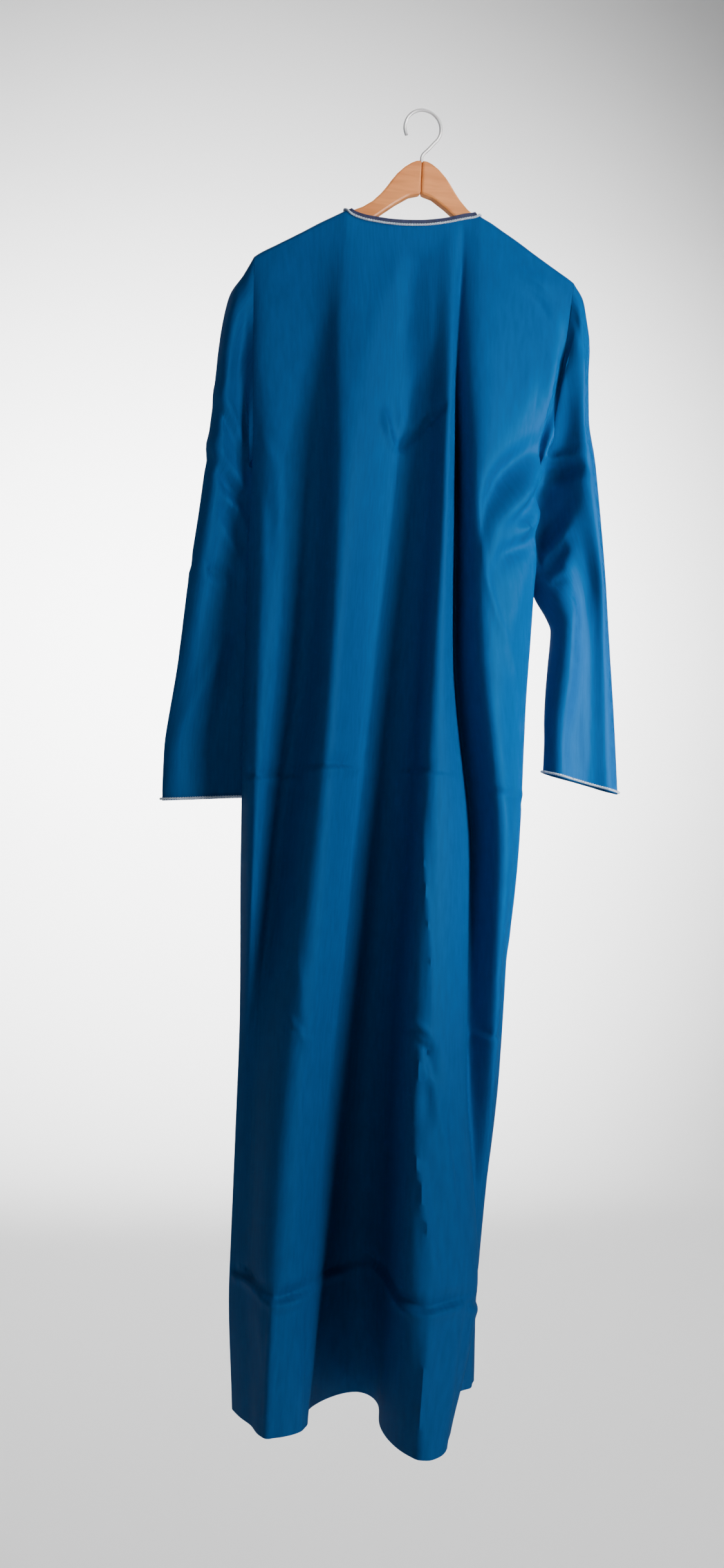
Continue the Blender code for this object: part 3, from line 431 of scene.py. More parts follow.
SLEEVE_LEFT_CREASES = (
    ("cap_patch", 0.0030, 0.0070, 0.0,
     ((-0.210, -0.240), (-0.220, -0.280), (-0.224, -0.330))),
    ("cap_trough", -0.0030, 0.0055, 0.0,
     ((-0.202, -0.260), (-0.206, -0.310), (-0.210, -0.350))),
    ("elbow_ridge", 0.0052, 0.0065, 0.0,
     ((-0.233, -0.352), (-0.216, -0.380), (-0.200, -0.412))),
    ("elbow_trough", -0.0050, 0.0060, 0.0,
     ((-0.232, -0.372), (-0.214, -0.400), (-0.200, -0.428))),
    ("lit_fold", 0.0060, 0.0080, 0.0,
     ((-0.240, -0.410), (-0.222, -0.432), (-0.204, -0.452), (-0.192, -0.470))),
    ("lit_fold_under", -0.0060, 0.0065, 0.0,
     ((-0.238, -0.434), (-0.218, -0.458), (-0.196, -0.480))),
    ("loop_ridge_a", 0.0046, 0.0055, 0.0,
     ((-0.228, -0.470), (-0.212, -0.482), (-0.196, -0.496), (-0.190, -0.514))),
    ("loop_trough_a", -0.0044, 0.0050, 0.0,
     ((-0.222, -0.488), (-0.208, -0.502), (-0.200, -0.522))),
    ("loop_ridge_b", 0.0040, 0.0050, 0.0,
     ((-0.224, -0.508), (-0.212, -0.526), (-0.200, -0.540), (-0.190, -0.562))),
    ("cross_fold", -0.0052, 0.0034, 0.0024,
     ((-0.258, -0.556), (-0.228, -0.566), (-0.196, -0.578))),
    ("side_edge", 0.0040, 0.0100, 0.0,
     ((-0.189, -0.585), (-0.206, -0.625), (-0.230, -0.690), (-0.262, -0.768), (-0.268, -0.826))),
    ("side_trough", -0.0048, 0.0130, 0.0,
     ((-0.176, -0.600), (-0.190, -0.650), (-0.206, -0.710), (-0.226, -0.780), (-0.232, -0.826))),
)
SLEEVE_RIGHT_CREASES = (
    ("cap_zig_a", 0.0024, 0.0045, 0.0,
     ((0.186, -0.210), (0.196, -0.224), (0.204, -0.246))),
    ("cap_zig_b", -0.0026, 0.0042, 0.0,
     ((0.194, -0.236), (0.202, -0.262), (0.206, -0.286))),
    ("outer_strip", -0.0050, 0.0035, 0.0,
     ((0.204, -0.230), (0.209, -0.262), (0.213, -0.310), (0.216, -0.360), (0.219, -0.404))),
    ("patch_ridge", 0.0150, 0.0170, 0.0,
     ((0.196, -0.262), (0.188, -0.305), (0.181, -0.350), (0.176, -0.398))),
    ("patch_hollow", -0.0040, 0.0120, 0.0,
     ((0.220, -0.270), (0.222, -0.320), (0.223, -0.360), (0.224, -0.396))),
    ("patch_under", 0.0052, 0.0050, 0.0,
     ((0.160, -0.404), (0.180, -0.404), (0.200, -0.401), (0.214, -0.398))),
    ("patch_shadow", -0.0100, 0.0085, 0.0,
     ((0.164, -0.424), (0.182, -0.424), (0.200, -0.420), (0.214, -0.416))),
    ("seam_trough", -0.0044, 0.0060, 0.0,
     ((0.190, -0.292), (0.180, -0.316), (0.172, -0.340), (0.168, -0.372))),
    ("under_shade", -0.0130, 0.0130, 0.0,
     ((0.172, -0.436), (0.167, -0.462), (0.165, -0.505), (0.168, -0.555))),
    ("under_trough_a", -0.0060, 0.0100, 0.0,
     ((0.208, -0.450), (0.192, -0.472), (0.176, -0.500), (0.168, -0.528))),
    ("under_ridge_a", 0.0050, 0.0060, 0.0,
     ((0.210, -0.484), (0.194, -0.500), (0.178, -0.518), (0.168, -0.534))),
    ("under_trough_b", -0.0060, 0.0070, 0.0,
     ((0.204, -0.510), (0.190, -0.524), (0.176, -0.542))),
    ("under_ridge_b", 0.0040, 0.0055, 0.0,
     ((0.206, -0.536), (0.192, -0.546), (0.178, -0.556))),
    ("pocket", -0.0050, 0.0060, 0.0,
     ((0.170, -0.552), (0.184, -0.556), (0.202, -0.563))),
    ("outer_edge", 0.0120, 0.0180, 0.0,
     ((0.212, -0.385), (0.208, -0.442), (0.203, -0.515), (0.198, -0.585), (0.194, -0.650),
      (0.196, -0.720))),
    ("fore_line", 0.0012, 0.0060, 0.0,
     ((0.222, -0.600), (0.226, -0.680), (0.232, -0.770))),
    ("fore_trough", -0.0010, 0.0080, 0.0,
     ((0.206, -0.660), (0.206, -0.720), (0.210, -0.780))),
)

# Colours in linear light
CLOTH_DEEP = (0.0006, 0.0580, 0.2020)
CLOTH_LIT = (0.0016, 0.0740, 0.2450)
SATIN_TINT = (0.10, 0.46, 0.88, 1.0)
BINDING_TONE = (0.010, 0.014, 0.052)
CORD_TONE = (0.62, 0.70, 0.80)
CORD_SHADE = (0.24, 0.30, 0.42)
WOOD_LIGHT = (0.82, 0.31, 0.090)
WOOD_DARK = (0.62, 0.20, 0.048)
WIRE_TONE = (0.80, 0.80, 0.82)
ROOM_TONE = (0.86, 0.86, 0.86)
AIR_TONE = (0.90, 0.94, 1.0)
WARM = (1.0, 0.98, 0.95)
COOL = (0.92, 0.96, 1.0)
WHITE = (1.0, 1.0, 1.0)

# Weave and grain
COTTON_THREADS = 420.0
TAPE_THREADS = 240.0
SLUB_STRETCH = (260.0, 34.0, 1.0)
FIBRE_SCALE = 900.0
GRAIN_STRETCH = (14.0, 90.0, 150.0)

# Room
FLOOR_Z = -2.3
WALL_Y = 5.2
WALL_TOP = 6.0
ROOM_NEAR_Y = -6.0
ROOM_HALF = 6.0
ROOM_CORNER_R = 1.2
ROOM_CORNER_STEPS = 24
AIR_STRENGTH = 0.08
LIGHTS = (
    # name, place, target, width and height, watts, tone, spread in degrees, shows in gloss
    ("key", (1.45, -1.5, -0.5), (0.05, 0.0, -0.9), (0.8, 1.3), 40.0, WARM, 180.0, True),
    ("fill", (-1.6, -2.6, -0.2), (0.0, 0.0, -0.8), (1.6, 1.8), 1.5, COOL, 180.0, False),
    ("wall_left", (-1.5, 2.4, -0.1), (-0.4, WALL_Y, -0.2), (0.8, 1.6), 185.0, WHITE, 110.0, True),
    ("wall_right", (1.5, 2.4, -0.1), (0.4, WALL_Y, -0.2), (0.8, 1.6), 185.0, WHITE, 110.0, True),
    ("sleeve_side", (1.2, -0.8, -0.5), (0.32, 0.0, -0.62), (0.25, 0.9), 2.2, WARM, 24.0, True),
    ("floor_wash", (0.0, 2.2, 1.6), (0.0, 2.5, -2.2), (2.6, 1.2), 150.0, WHITE, 180.0, True),
    ("hanger_lamp", (0.7, -1.1, 0.35), (0.02, 0.0, -0.01), (0.2, 0.2), 0.22, WARM, 18.0, True),
    ("upper_fill", (-0.9, -1.6, 0.1), (0.0, 0.0, -0.42), (0.5, 0.5), 0.45, COOL, 50.0, False),
)

# Camera of the photo's view: degrees, metres, and its focal length as a share of the picture
VIEW_TURN = 8.0
VIEW_ROLL = 2.5
VIEW_AWAY = 1.9
VIEW_LEFT = 0.0389
VIEW_DOWN = 0.8106
SENSOR = 36.0
PHOTO_HEIGHT = 2436.0
PHOTO_FOCUS = 2455.0


def spline(knots, values, at):
    """Natural cubic spline: the curve through (knot, value) whose second slope is continuous
    and is zero at both ends."""
    knots = np.asarray(knots, float)
    values = np.asarray(values, float)
    step = np.diff(knots)
    slope = np.diff(values, axis=0) / step[:, None]
    matrix = np.eye(len(knots))
    right = np.zeros_like(values)
    for i in range(1, len(knots) - 1):
        matrix[i, i - 1] = step[i - 1]
        matrix[i, i] = 2.0 * (step[i - 1] + step[i])
        matrix[i, i + 1] = step[i]
        right[i] = 6.0 * (slope[i] - slope[i - 1])
    bend = np.linalg.solve(matrix, right)
    i = np.clip(np.searchsorted(knots, at, side="right") - 1, 0, len(knots) - 2)
    a = (knots[i + 1] - at)[:, None]
    b = (at - knots[i])[:, None]
    h = step[i][:, None]
    cubic = (bend[i] * a ** 3 + bend[i + 1] * b ** 3) / (6.0 * h)
    line = (values[i] / h - bend[i] * h / 6.0) * a + (values[i + 1] / h - bend[i + 1] * h / 6.0) * b
    return cubic + line


def pick(table, i):
    """Rows i of a table, each column on its own."""
    return np.take_along_axis(table, i, axis=0)


def steady_curve(knots, values, at):
    """Cubic between neighbouring values with harmonic mean slopes, so it never overshoots."""
    step = np.diff(knots, axis=0)
    slope = np.diff(values, axis=0) / step
    both = slope[:-1] * slope[1:]
    mean = np.where(both > 0.0, 2.0 * both / np.where(both > 0.0, slope[:-1] + slope[1:], 1.0), 0.0)
    tangent = np.concatenate([slope[:1], mean, slope[-1:]])
    i = (at[:, None, :] >= knots[None, 1:-1, :]).sum(axis=1)
    h = pick(step, i)
    u = np.clip((at - pick(knots, i)) / h, 0.0, 1.0)
    start, end = pick(values, i), pick(values, i + 1)
    leave, arrive = pick(tangent, i), pick(tangent, i + 1)
    return ((2 * u ** 3 - 3 * u ** 2 + 1) * start + (u ** 3 - 2 * u ** 2 + u) * h * leave
            + (3 * u ** 2 - 2 * u ** 3) * end + (u ** 3 - u ** 2) * h * arrive)


def steady_line(table, at):
    """The same curve through a table of (place, value) rows."""
    table = np.asarray(table, float)
    return steady_curve(table[:, :1], table[:, 1:], np.asarray(at, float)[:, None])[:, 0]


def top_line(neck):
    """Upper edge of a body panel: left shoulder, neck edge, right shoulder, as x and z."""
    left = np.arange(TIP_LEFT, neck[0][0] - NECK_CLEAR, SHOULDER_STEP)
    right = np.arange(TIP_RIGHT, neck[-1][0] + NECK_CLEAR, -SHOULDER_STEP)[::-1]
    shoulder = [(x, steady_line(SHOULDER_LINE, [abs(x)])[0]) for x in (*left, *right)]
    return np.array(shoulder[:len(left)] + list(neck) + shoulder[len(left):])


def panel_depths(top_z):
    """Depths of a panel's rows below its upper edge, closer together at the pressed creases."""
    near = np.repeat(np.array(NEAR_TOP)[:, None], len(top_z), axis=1)
    chest = np.linspace(0.0, 1.0, CHEST_ROWS + 1)[1:, None]
    upper = near[-1] + (top_z - UNDERARM_Z - near[-1]) * chest
    z = np.arange(UNDERARM_Z - SKIRT_STEP, HEM_Z + HEM_CLEAR, -SKIRT_STEP)
    level = np.array(CREASE_LEVELS)
    z = z[np.abs(z[:, None] - level).min(axis=1) > FINE_HALF]
    fine = (level[:, None] + np.arange(-FINE_HALF, FINE_HALF + FINE_STEP / 2.0, FINE_STEP)).ravel()
    z = np.sort(np.concatenate([z, fine, [HEM_Z + HEM_ROW, HEM_Z]]))[::-1]
    return np.vstack([near, upper, top_z - z[:, None]])


def unit(vectors):
    """Vectors scaled to length 1."""
    return vectors / np.maximum(np.linalg.norm(vectors, axis=-1, keepdims=True), 1e-12)


def grid_normals(grid, ring=False):
    """Normals of a grid of points: the cross product of its two directions."""
    if ring:
        around = np.roll(grid, -1, axis=1) - np.roll(grid, 1, axis=1)
    else:
        around = np.gradient(grid, axis=1)
    return unit(np.cross(around, np.gradient(grid, axis=0)))


def smooth_step(low, high, value):
    """0 below low, 1 above high, and an even S between them."""
    u = np.clip((value - low) / (high - low), 0.0, 1.0)
    return u * u * (3.0 - 2.0 * u)


def crease_lift(x, z, creases):
    """Height of all creases at x and z. Across a crease's line the height falls off as a bell
    exp(-(d / w)^2), with a step of its own beside it, and along it the height rises and fades
    as a half sine, made uneven by a slower wave."""
    lift = np.zeros_like(x)
    for number, (_, height, width, step, line) in enumerate(creases):
        line = np.array(line)
        span = CREASE_REACH * width
        near = ((x > line[:, 0].min() - span) & (x < line[:, 0].max() + span)
                & (z > line[:, 1].min() - span) & (z < line[:, 1].max() + span))
        if not near.any():
            continue
        px, pz = x[near], z[near]
        length = np.hypot(*np.diff(line, axis=0).T)
        start = np.concatenate([[0.0], np.cumsum(length)])
        best = np.full(px.shape, np.inf)
        along = np.zeros_like(px)
        signed = np.zeros_like(px)
        for k in range(len(length)):
            ax, az = line[k]
            dx, dz = (line[k + 1] - line[k]) / length[k]
            t = np.clip((px - ax) * dx + (pz - az) * dz, 0.0, length[k])
            ox, oz = px - ax - t * dx, pz - az - t * dz
            far = np.hypot(ox, oz)
            closer = far < best
            best = np.where(closer, far, best)
            along = np.where(closer, start[k] + t, along)
            signed = np.where(closer, np.sign(dx * oz - dz * ox) * far, signed)
        share = along / start[-1]
        fade = np.sin(np.pi * np.clip(0.04 + 0.92 * share, 0.0, 1.0)) ** CREASE_FADE
        fade = fade * (1.0 + CREASE_UNEVEN * np.sin(CREASE_BEAT * share + CREASE_SHIFT * number))
        bell = np.exp(-(best / width) ** 2)
        ledge = -(signed / width) * np.exp(-0.5 * (best / (1.6 * width)) ** 2)
        lift[near] += fade * (height * bell + step * ledge)
    return lift


def soft_waves(x, z, seed, height):
    """Slow unevenness of hanging cloth: a sum of a few long sine waves of x and z."""
    rng = np.random.default_rng(seed)
    total = np.zeros_like(x)
    for _ in range(WAVE_COUNT):
        across = rng.uniform(*WAVES_ACROSS) * rng.choice((-1.0, 1.0))
        down = rng.uniform(*WAVES_DOWN)
        total += np.sin(across * x + down * z + rng.uniform(0.0, 6.28)) * rng.uniform(*WAVE_SHARES)
    return height * total / 4.0


def make_panel(side, folds, neck, creases):
    """Points and normals of one body panel. Across, each row is a spline through the fold
    lines; down, each fold line is a steady curve through its levels; at the hanger the cloth
    comes over the arm as a quarter ellipse; the creases are then raised along the normals."""
    fold_x = np.array([row[2] for row in folds])
    fold_y = np.array([row[3] for row in folds])
    reach = np.hypot(np.diff(fold_x, axis=0), np.diff(fold_y, axis=0)).mean(axis=1)
    across = np.concatenate([[0.0], np.cumsum(reach)])
    edge = top_line(neck)
    run = np.concatenate([[0.0], np.cumsum(np.hypot(*np.diff(edge, axis=0).T))])
    fold_run = np.interp([row[1] for row in folds], edge[:, 0], run)
    crossings = [k for k, row in enumerate(folds) if row[1] in (neck[0][0], neck[-1][0])]
    longest = np.maximum(reach, np.diff(fold_run) * NECK_FINENESS)
    steps = np.maximum(3, np.ceil(longest / COLUMN_STEP)).astype(int)
    s = np.concatenate([np.linspace(a, b, n, endpoint=False)
                        for a, b, n in zip(across[:-1], across[1:], steps)] + [across[-1:]])
    top_run = steady_line(np.column_stack([across, fold_run]), s)
    top_x = steady_line(np.column_stack([run, edge[:, 0]]), top_run)
    top_z = steady_line(np.column_stack([run, edge[:, 1]]), top_run)
    depth = panel_depths(top_z)
    z = top_z - depth
    level_z = np.repeat(np.array(LEVELS)[:, None], len(s), axis=1)
    level_x = spline(across, fold_x, s).T
    level_y = spline(across, fold_y, s).T - side * ARM_OUT
    knots = -np.vstack([top_z, level_z])
    x = steady_curve(knots, np.vstack([top_x, level_x]), -z)
    y = steady_curve(knots, np.vstack([np.zeros_like(top_x), level_y]), -z)
    below = steady_line(SHOULDER_LINE, np.abs(x).ravel()).reshape(x.shape) - z
    bend = 1.0 - np.clip(below / DRAPE_R, 0.0, 1.0)
    y = y + side * (SEAM_HALF + (ARM_OUT - SEAM_HALF) * np.sqrt(1.0 - bend ** 2))
    grid = np.stack([x, y, z], axis=-1)
    normal = panel_normals(grid, side)
    column = np.arange(len(s))
    from_seam = np.minimum(column, column[::-1])
    free = smooth_step(0.0, FREE_COLUMNS, from_seam)[None, :] * smooth_step(*FREE_DEPTHS, depth)
    lift = crease_lift(x, z, creases) + soft_waves(x, z, PANEL_SEED + side, PANEL_WAVE)
    grid = grid + normal * (lift * free)[..., None]
    normal = panel_normals(grid, side)
    picks = {row[0]: int(np.argmin(np.abs(s - place))) for row, place in zip(folds, across)}
    return {"grid": grid, "normal": normal, "across": unit(np.gradient(grid, axis=1)),
            "depth": depth, "fold": picks, "neck": [picks[folds[k][0]] for k in crossings]}


def panel_normals(grid, side):
    """Normals that point away from the hollow of the robe, square across the shoulder seam."""
    normal = grid_normals(grid)
    if normal[..., 1].mean() * side < 0.0:
        normal = -normal
    normal[:, 1:-1] = unit(normal[:, :-2] + 2.0 * normal[:, 1:-1] + normal[:, 2:])
    on_seam = np.abs(grid[0, :, 1]) < 2.0 * SEAM_HALF
    normal[0, on_seam, 1] = 0.0
    return unit(normal)


def wall(outer, inner, ring):
    """Vertices and faces of the closed wall between two grids of the same shape."""
    rows, columns = outer.shape[:2]
    index = np.arange(rows * columns).reshape(rows, columns)
    if ring:
        index = np.hstack([index, index[:, :1]])
    far = index + rows * columns

    def band(a, b):
        return np.stack([a[:-1], a[1:], b[1:], b[:-1]], axis=-1).reshape(-1, 4)

    faces = [band(index[r], index[r + 1]) for r in range(rows - 1)]
    faces += [band(far[r + 1], far[r]) for r in range(rows - 1)]
    faces += [band(far[0], index[0]), band(index[-1], far[-1])]
    if not ring:
        faces += [band(index[:, 0], far[:, 0]), band(far[:, -1], index[:, -1])]
    vertices = np.concatenate([outer.reshape(-1, 3), inner.reshape(-1, 3)])
    return vertices, np.concatenate(faces)


def grid_faces(index):
    """Four-cornered faces between the neighbouring rows and columns of an index grid."""
    corners = (index[:-1, :-1], index[1:, :-1], index[1:, 1:], index[:-1, 1:])
    return np.stack(corners, axis=-1).reshape(-1, 4)


def closed(index):
    """Index grid whose first row and first column follow again at its ends."""
    index = np.vstack([index, index[:1]])
    return np.hstack([index, index[:, :1]])


def put_in_scene(name, data):
    """New object of this data, linked into the scene."""
    item = bpy.data.objects.new(name, data)
    bpy.context.scene.collection.objects.link(item)
    return item


def add_mesh(name, vertices, faces, material, uv=None):
    """Piece from arrays of vertices and faces, turned so that its volume is positive, shaded
    smooth but for its thin rims, with an optional UV place for each vertex."""
    mesh = bpy.data.meshes.new(name)
    mesh.from_pydata(vertices.tolist(), [], faces.tolist())
    body = bmesh.new()
    body.from_mesh(mesh)
    if body.calc_volume(signed=True) < 0.0:
        bmesh.ops.reverse_faces(body, faces=body.faces)
    body.to_mesh(mesh)
    body.free()
    mesh.shade_smooth()
    mesh.set_sharp_from_angle(angle=CLOTH_RIM_ANGLE)
    if uv is not None:
        layer = mesh.uv_layers.new(name="UVMap")
        loop_vertex = np.empty(len(mesh.loops), np.int32)
        mesh.loops.foreach_get("vertex_index", loop_vertex)
        layer.data.foreach_set("uv", uv[loop_vertex].astype(np.float32).ravel())
    mesh.materials.append(material)
    return put_in_scene(name, mesh)


def dress(item, slot, *nodes):
    """Fix a piece to the robe's one body, in place of the solids it stands for."""
    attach(item, "root")
    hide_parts(*nodes)
    return item


def grid_uv(grid, copies):
    """Places on the cloth in metres: run along each row and run down each column."""
    across = np.linalg.norm(np.diff(grid, axis=1), axis=-1).mean(axis=0)
    down = np.linalg.norm(np.diff(grid, axis=0), axis=-1).mean(axis=1)
    u = np.concatenate([[0.0], np.cumsum(across)])
    v = np.concatenate([[0.0], np.cumsum(down)])
    uv = np.stack(np.meshgrid(u, v), axis=-1).reshape(-1, 2)
    return np.concatenate([uv] * copies)


def cloth_wall(name, grid, normal, offset, ring, material):
    """Cloth shell CLOTH_T thick whose outer face lies offset out from the grid."""
    outer = grid + normal * offset
    inner = grid + normal * (offset - CLOTH_T)
    vertices, faces = wall(outer, inner, ring)
    return add_mesh(name, vertices, faces, material, grid_uv(grid, 2))


def placket(panel, material):
    """Pointed strip laid on the front's own columns: rows follow the cloth from below the neck
    cord, and the last one is the pointed end; it is one cloth thickness proud."""
    columns = np.arange(panel["fold"]["placket_left"], panel["fold"]["placket_right"] + 1)
    z = panel["grid"][:, columns, 2]
    share = np.abs(np.linspace(-1.0, 1.0, len(columns)))
    end_z = PLACKET_POINT_Z + (PLACKET_SIDE_Z - PLACKET_POINT_Z) * share
    inside = z[0].min() - PLACKET_START - PLACKET_MARGIN > z.max(axis=1)
    inside &= z.min(axis=1) > PLACKET_SIDE_Z + PLACKET_MARGIN
    rows = np.vstack([z[0] - PLACKET_START, z[inside], end_z])
    points = np.empty(rows.shape + (3,))
    normal = np.empty(rows.shape + (3,))
    for k, column in enumerate(columns):
        for axis in range(3):
            points[:, k, axis] = np.interp(-rows[:, k], -z[:, k], panel["grid"][:, column, axis])
            normal[:, k, axis] = np.interp(-rows[:, k], -z[:, k], panel["normal"][:, column, axis])
    return cloth_wall("placket_strip", points, unit(normal), PLACKET_LIFT, False, material)


def armhole(back, front, side):
    """Closed loop down the back panel's armhole edge and up the front's, with the panels'
    normals, and how far round the loop each point lies."""
    column = 0 if side < 0 else -1
    rows = len(NEAR_TOP) + CHEST_ROWS
    loop, normal, out = (np.concatenate([back[key][:rows, column],
                                         front[key][rows - 1::-1, column]])
                         for key in ("grid", "normal", "across"))
    half = back["depth"][:rows, column]
    half = EDGE_TURN + (0.5 - 2.0 * EDGE_TURN) * half / half[-1]
    turn = np.concatenate([half, 1.0 - half[::-1]])
    out = unit(side * out - normal * (side * out * normal).sum(axis=-1, keepdims=True))
    return loop + out * GAP, normal, turn


def sleeve_section(row, turn):
    """One closed section of a sleeve: outer edge, back, inner edge, front."""
    outer, inner = np.array(row[0:3]), np.array(row[3:6])
    back_1, back_2, front_1, front_2 = row[6:10]
    stations = (
        # turn, share of the way across, lift off the straight line
        (0.00, 0.00, 0.0),
        (0.03, EDGE_SHARE, -EDGE_LIFT * back_1),
        (0.18, 1 / 3, -back_1),
        (0.32, 2 / 3, -back_2),
        (0.47, 1.0 - EDGE_SHARE, -EDGE_LIFT * back_2),
        (0.50, 1.00, 0.0),
        (0.53, 1.0 - EDGE_SHARE, EDGE_LIFT * front_2),
        (0.68, 2 / 3, front_2),
        (0.82, 1 / 3, front_1),
        (0.97, EDGE_SHARE, EDGE_LIFT * front_1),
    )
    knots = np.array([station[0] for station in stations])
    points = np.array([outer + share * (inner - outer) + (0.0, lift, 0.0)
                       for _, share, lift in stations])
    knots = np.concatenate([knots - 1.0, knots, knots + 1.0])
    return spline(knots, np.concatenate([points] * 3), turn)


def sleeve_grid(back, front, side, table, creases):
    """Rings of a sleeve: a steady curve from the armhole loop through the sections to the cuff,
    with the creases raised on both its faces."""
    start, start_normal, turn = armhole(back, front, side)
    rings = np.array([start] + [sleeve_section(row, turn) for row in table])
    rings = rings.reshape(len(rings), -1)
    knots = np.repeat(np.arange(float(len(rings)))[:, None], rings.shape[1], axis=1)
    last = len(rings) - 1.0
    at = np.concatenate([np.linspace(0.0, last - CUFF_ROW, SLEEVE_STEPS), [last]])
    at = np.repeat(at[:, None], rings.shape[1], axis=1)
    grid = steady_curve(knots, rings, at).reshape(len(at), -1, 3)
    normal = sleeve_normals(grid, start_normal)
    free = smooth_step(0.0, FREE_RINGS, np.arange(len(grid)))[:, None]
    lift = crease_lift(grid[..., 0], grid[..., 2], creases)
    lift = lift + soft_waves(grid[..., 0], grid[..., 2], SLEEVE_SEED + side, SLEEVE_WAVE)
    grid = grid + normal * (lift * free * SLEEVE_CREASE_SHARE)[..., None]
    return grid, sleeve_normals(grid, start_normal)


def sleeve_normals(grid, start_normal):
    """Normals away from the sleeve's middle, smoothed, and the panels' own at the armhole."""
    normal = grid_normals(grid, True)
    if (normal * (grid - grid.mean(axis=1, keepdims=True))).sum() < 0.0:
        normal = -normal
    for _ in range(SLEEVE_SMOOTHINGS):
        normal[0] = start_normal
        normal = unit(np.roll(normal, 1, axis=1) + 2.0 * normal + np.roll(normal, -1, axis=1))
        normal[1:-1] = unit(normal[:-2] + 2.0 * normal[1:-1] + normal[2:])
    normal[0] = start_normal
    return normal


def even_loop(points, step):
    """A closed line of points spaced evenly, at most step apart."""
    closed = np.vstack([points, points[:1]])
    run = np.concatenate([[0.0], np.cumsum(np.linalg.norm(np.diff(closed, axis=0), axis=1))])
    count = int(np.ceil(run[-1] / step))
    at = np.linspace(0.0, run[-1], count, endpoint=False)
    return np.stack([np.interp(at, run, closed[:, k]) for k in range(3)], axis=-1)


def twisted_cord(name, centre, material):
    """Two plies wound round a closed line: each ply is a circle of points carried along the
    line, its own centre turning round it once every pitch."""
    centre = even_loop(centre, CORD_STEP)
    for _ in range(CORD_SMOOTHINGS):
        centre = (np.roll(centre, 1, axis=0) + 2.0 * centre + np.roll(centre, -1, axis=0)) / 4.0
    count = len(centre)
    along = unit(np.roll(centre, -1, axis=0) - np.roll(centre, 1, axis=0))
    level = unit(np.cross(along, (0.0, 0.0, 1.0)) + np.array([1e-6, 0.0, 0.0]))
    upright = np.cross(level, along)
    turns = max(1, round((count - 1) * CORD_STEP / CORD_PITCH))
    winding = 2.0 * np.pi * turns * np.arange(count) / count
    angle = np.linspace(0.0, 2.0 * np.pi, PLY_SIDES, endpoint=False)

    def turned(phase, first, second):
        """Point at this phase of the unit circle that the two directions span."""
        return np.cos(phase)[..., None] * first + np.sin(phase)[..., None] * second

    rings = []
    faces = []
    for ply in range(2):
        middle = centre + PLY_OFFSET * turned(winding + np.pi * ply, level, upright)
        ring = middle[:, None] + PLY_R * turned(angle[None, :], level[:, None], upright[:, None])
        index = np.arange(count * PLY_SIDES).reshape(count, PLY_SIDES) + ply * count * PLY_SIDES
        rings.append(ring.reshape(-1, 3))
        faces.append(grid_faces(closed(index)))
    return add_mesh(name, np.concatenate(rings), np.concatenate(faces), material)


def neck_edge(back, front):
    """Closed line of the neck edge, the cloth's normals along it, and the way down the cloth."""
    edge, lift = (np.concatenate([
        back[key][0, back["neck"][0]:back["neck"][1] + 1],
        front[key][0, front["neck"][0]:front["neck"][1] + 1][::-1],
    ]) for key in ("grid", "normal"))
    along = unit(np.roll(edge, -1, axis=0) - np.roll(edge, 1, axis=0))
    down = unit(np.cross(lift, along))
    if down[:, 2].sum() > 0.0:
        down = -down
    return edge, lift, down


def ring_band(name, loops, material):
    """Solid ring through closed loops of points, which follow each other round its section,
    with x and z in metres as its UV places."""
    index = np.arange(loops.shape[0] * loops.shape[1]).reshape(loops.shape[:2])
    points = loops.reshape(-1, 3)
    return add_mesh(name, points, grid_faces(closed(index).T), material, points[:, [0, 2]])


def new_material(name, **values):
    """Empty material with one Principled shader, whose sockets take the values by name."""
    material = bpy.data.materials.new(name)
    material.use_nodes = True
    tree = material.node_tree
    shader = tree.nodes["Principled BSDF"]
    set_inputs(shader, **values)
    return material, tree, shader


def set_inputs(node, **values):
    """Values of a node's sockets; an underscore in a name stands for a space."""
    for name, value in values.items():
        node.inputs[name.replace("_", " ")].default_value = value


def ramp_between(tree, factor, low, high, first, second):
    """Colour that runs from the first to the second while the factor goes from low to high."""
    node = tree.nodes.new("ShaderNodeValToRGB")
    node.color_ramp.elements[0].position = low
    node.color_ramp.elements[0].color = (*first, 1.0)
    node.color_ramp.elements[1].position = high
    node.color_ramp.elements[1].color = (*second, 1.0)
    tree.links.new(factor, node.inputs["Fac"])
    return node.outputs["Color"]


def add_bump(tree, shader, height, strength, distance):
    """Relief of a height on the shader's normal."""
    bump = tree.nodes.new("ShaderNodeBump")
    set_inputs(bump, Strength=strength, Distance=distance)
    tree.links.new(height, bump.inputs["Height"])
    tree.links.new(bump.outputs["Normal"], shader.inputs["Normal"])


def stretched_noise(tree, place, stretch, **values):
    """Noise at a place, drawn out by a different scale each way."""
    mapping = tree.nodes.new("ShaderNodeMapping")
    set_inputs(mapping, Scale=stretch)
    tree.links.new(place, mapping.inputs["Vector"])
    noise = tree.nodes.new("ShaderNodeTexNoise")
    set_inputs(noise, Scale=1.0, **values)
    tree.links.new(mapping.outputs["Vector"], noise.inputs["Vector"])
    return noise.outputs["Fac"]


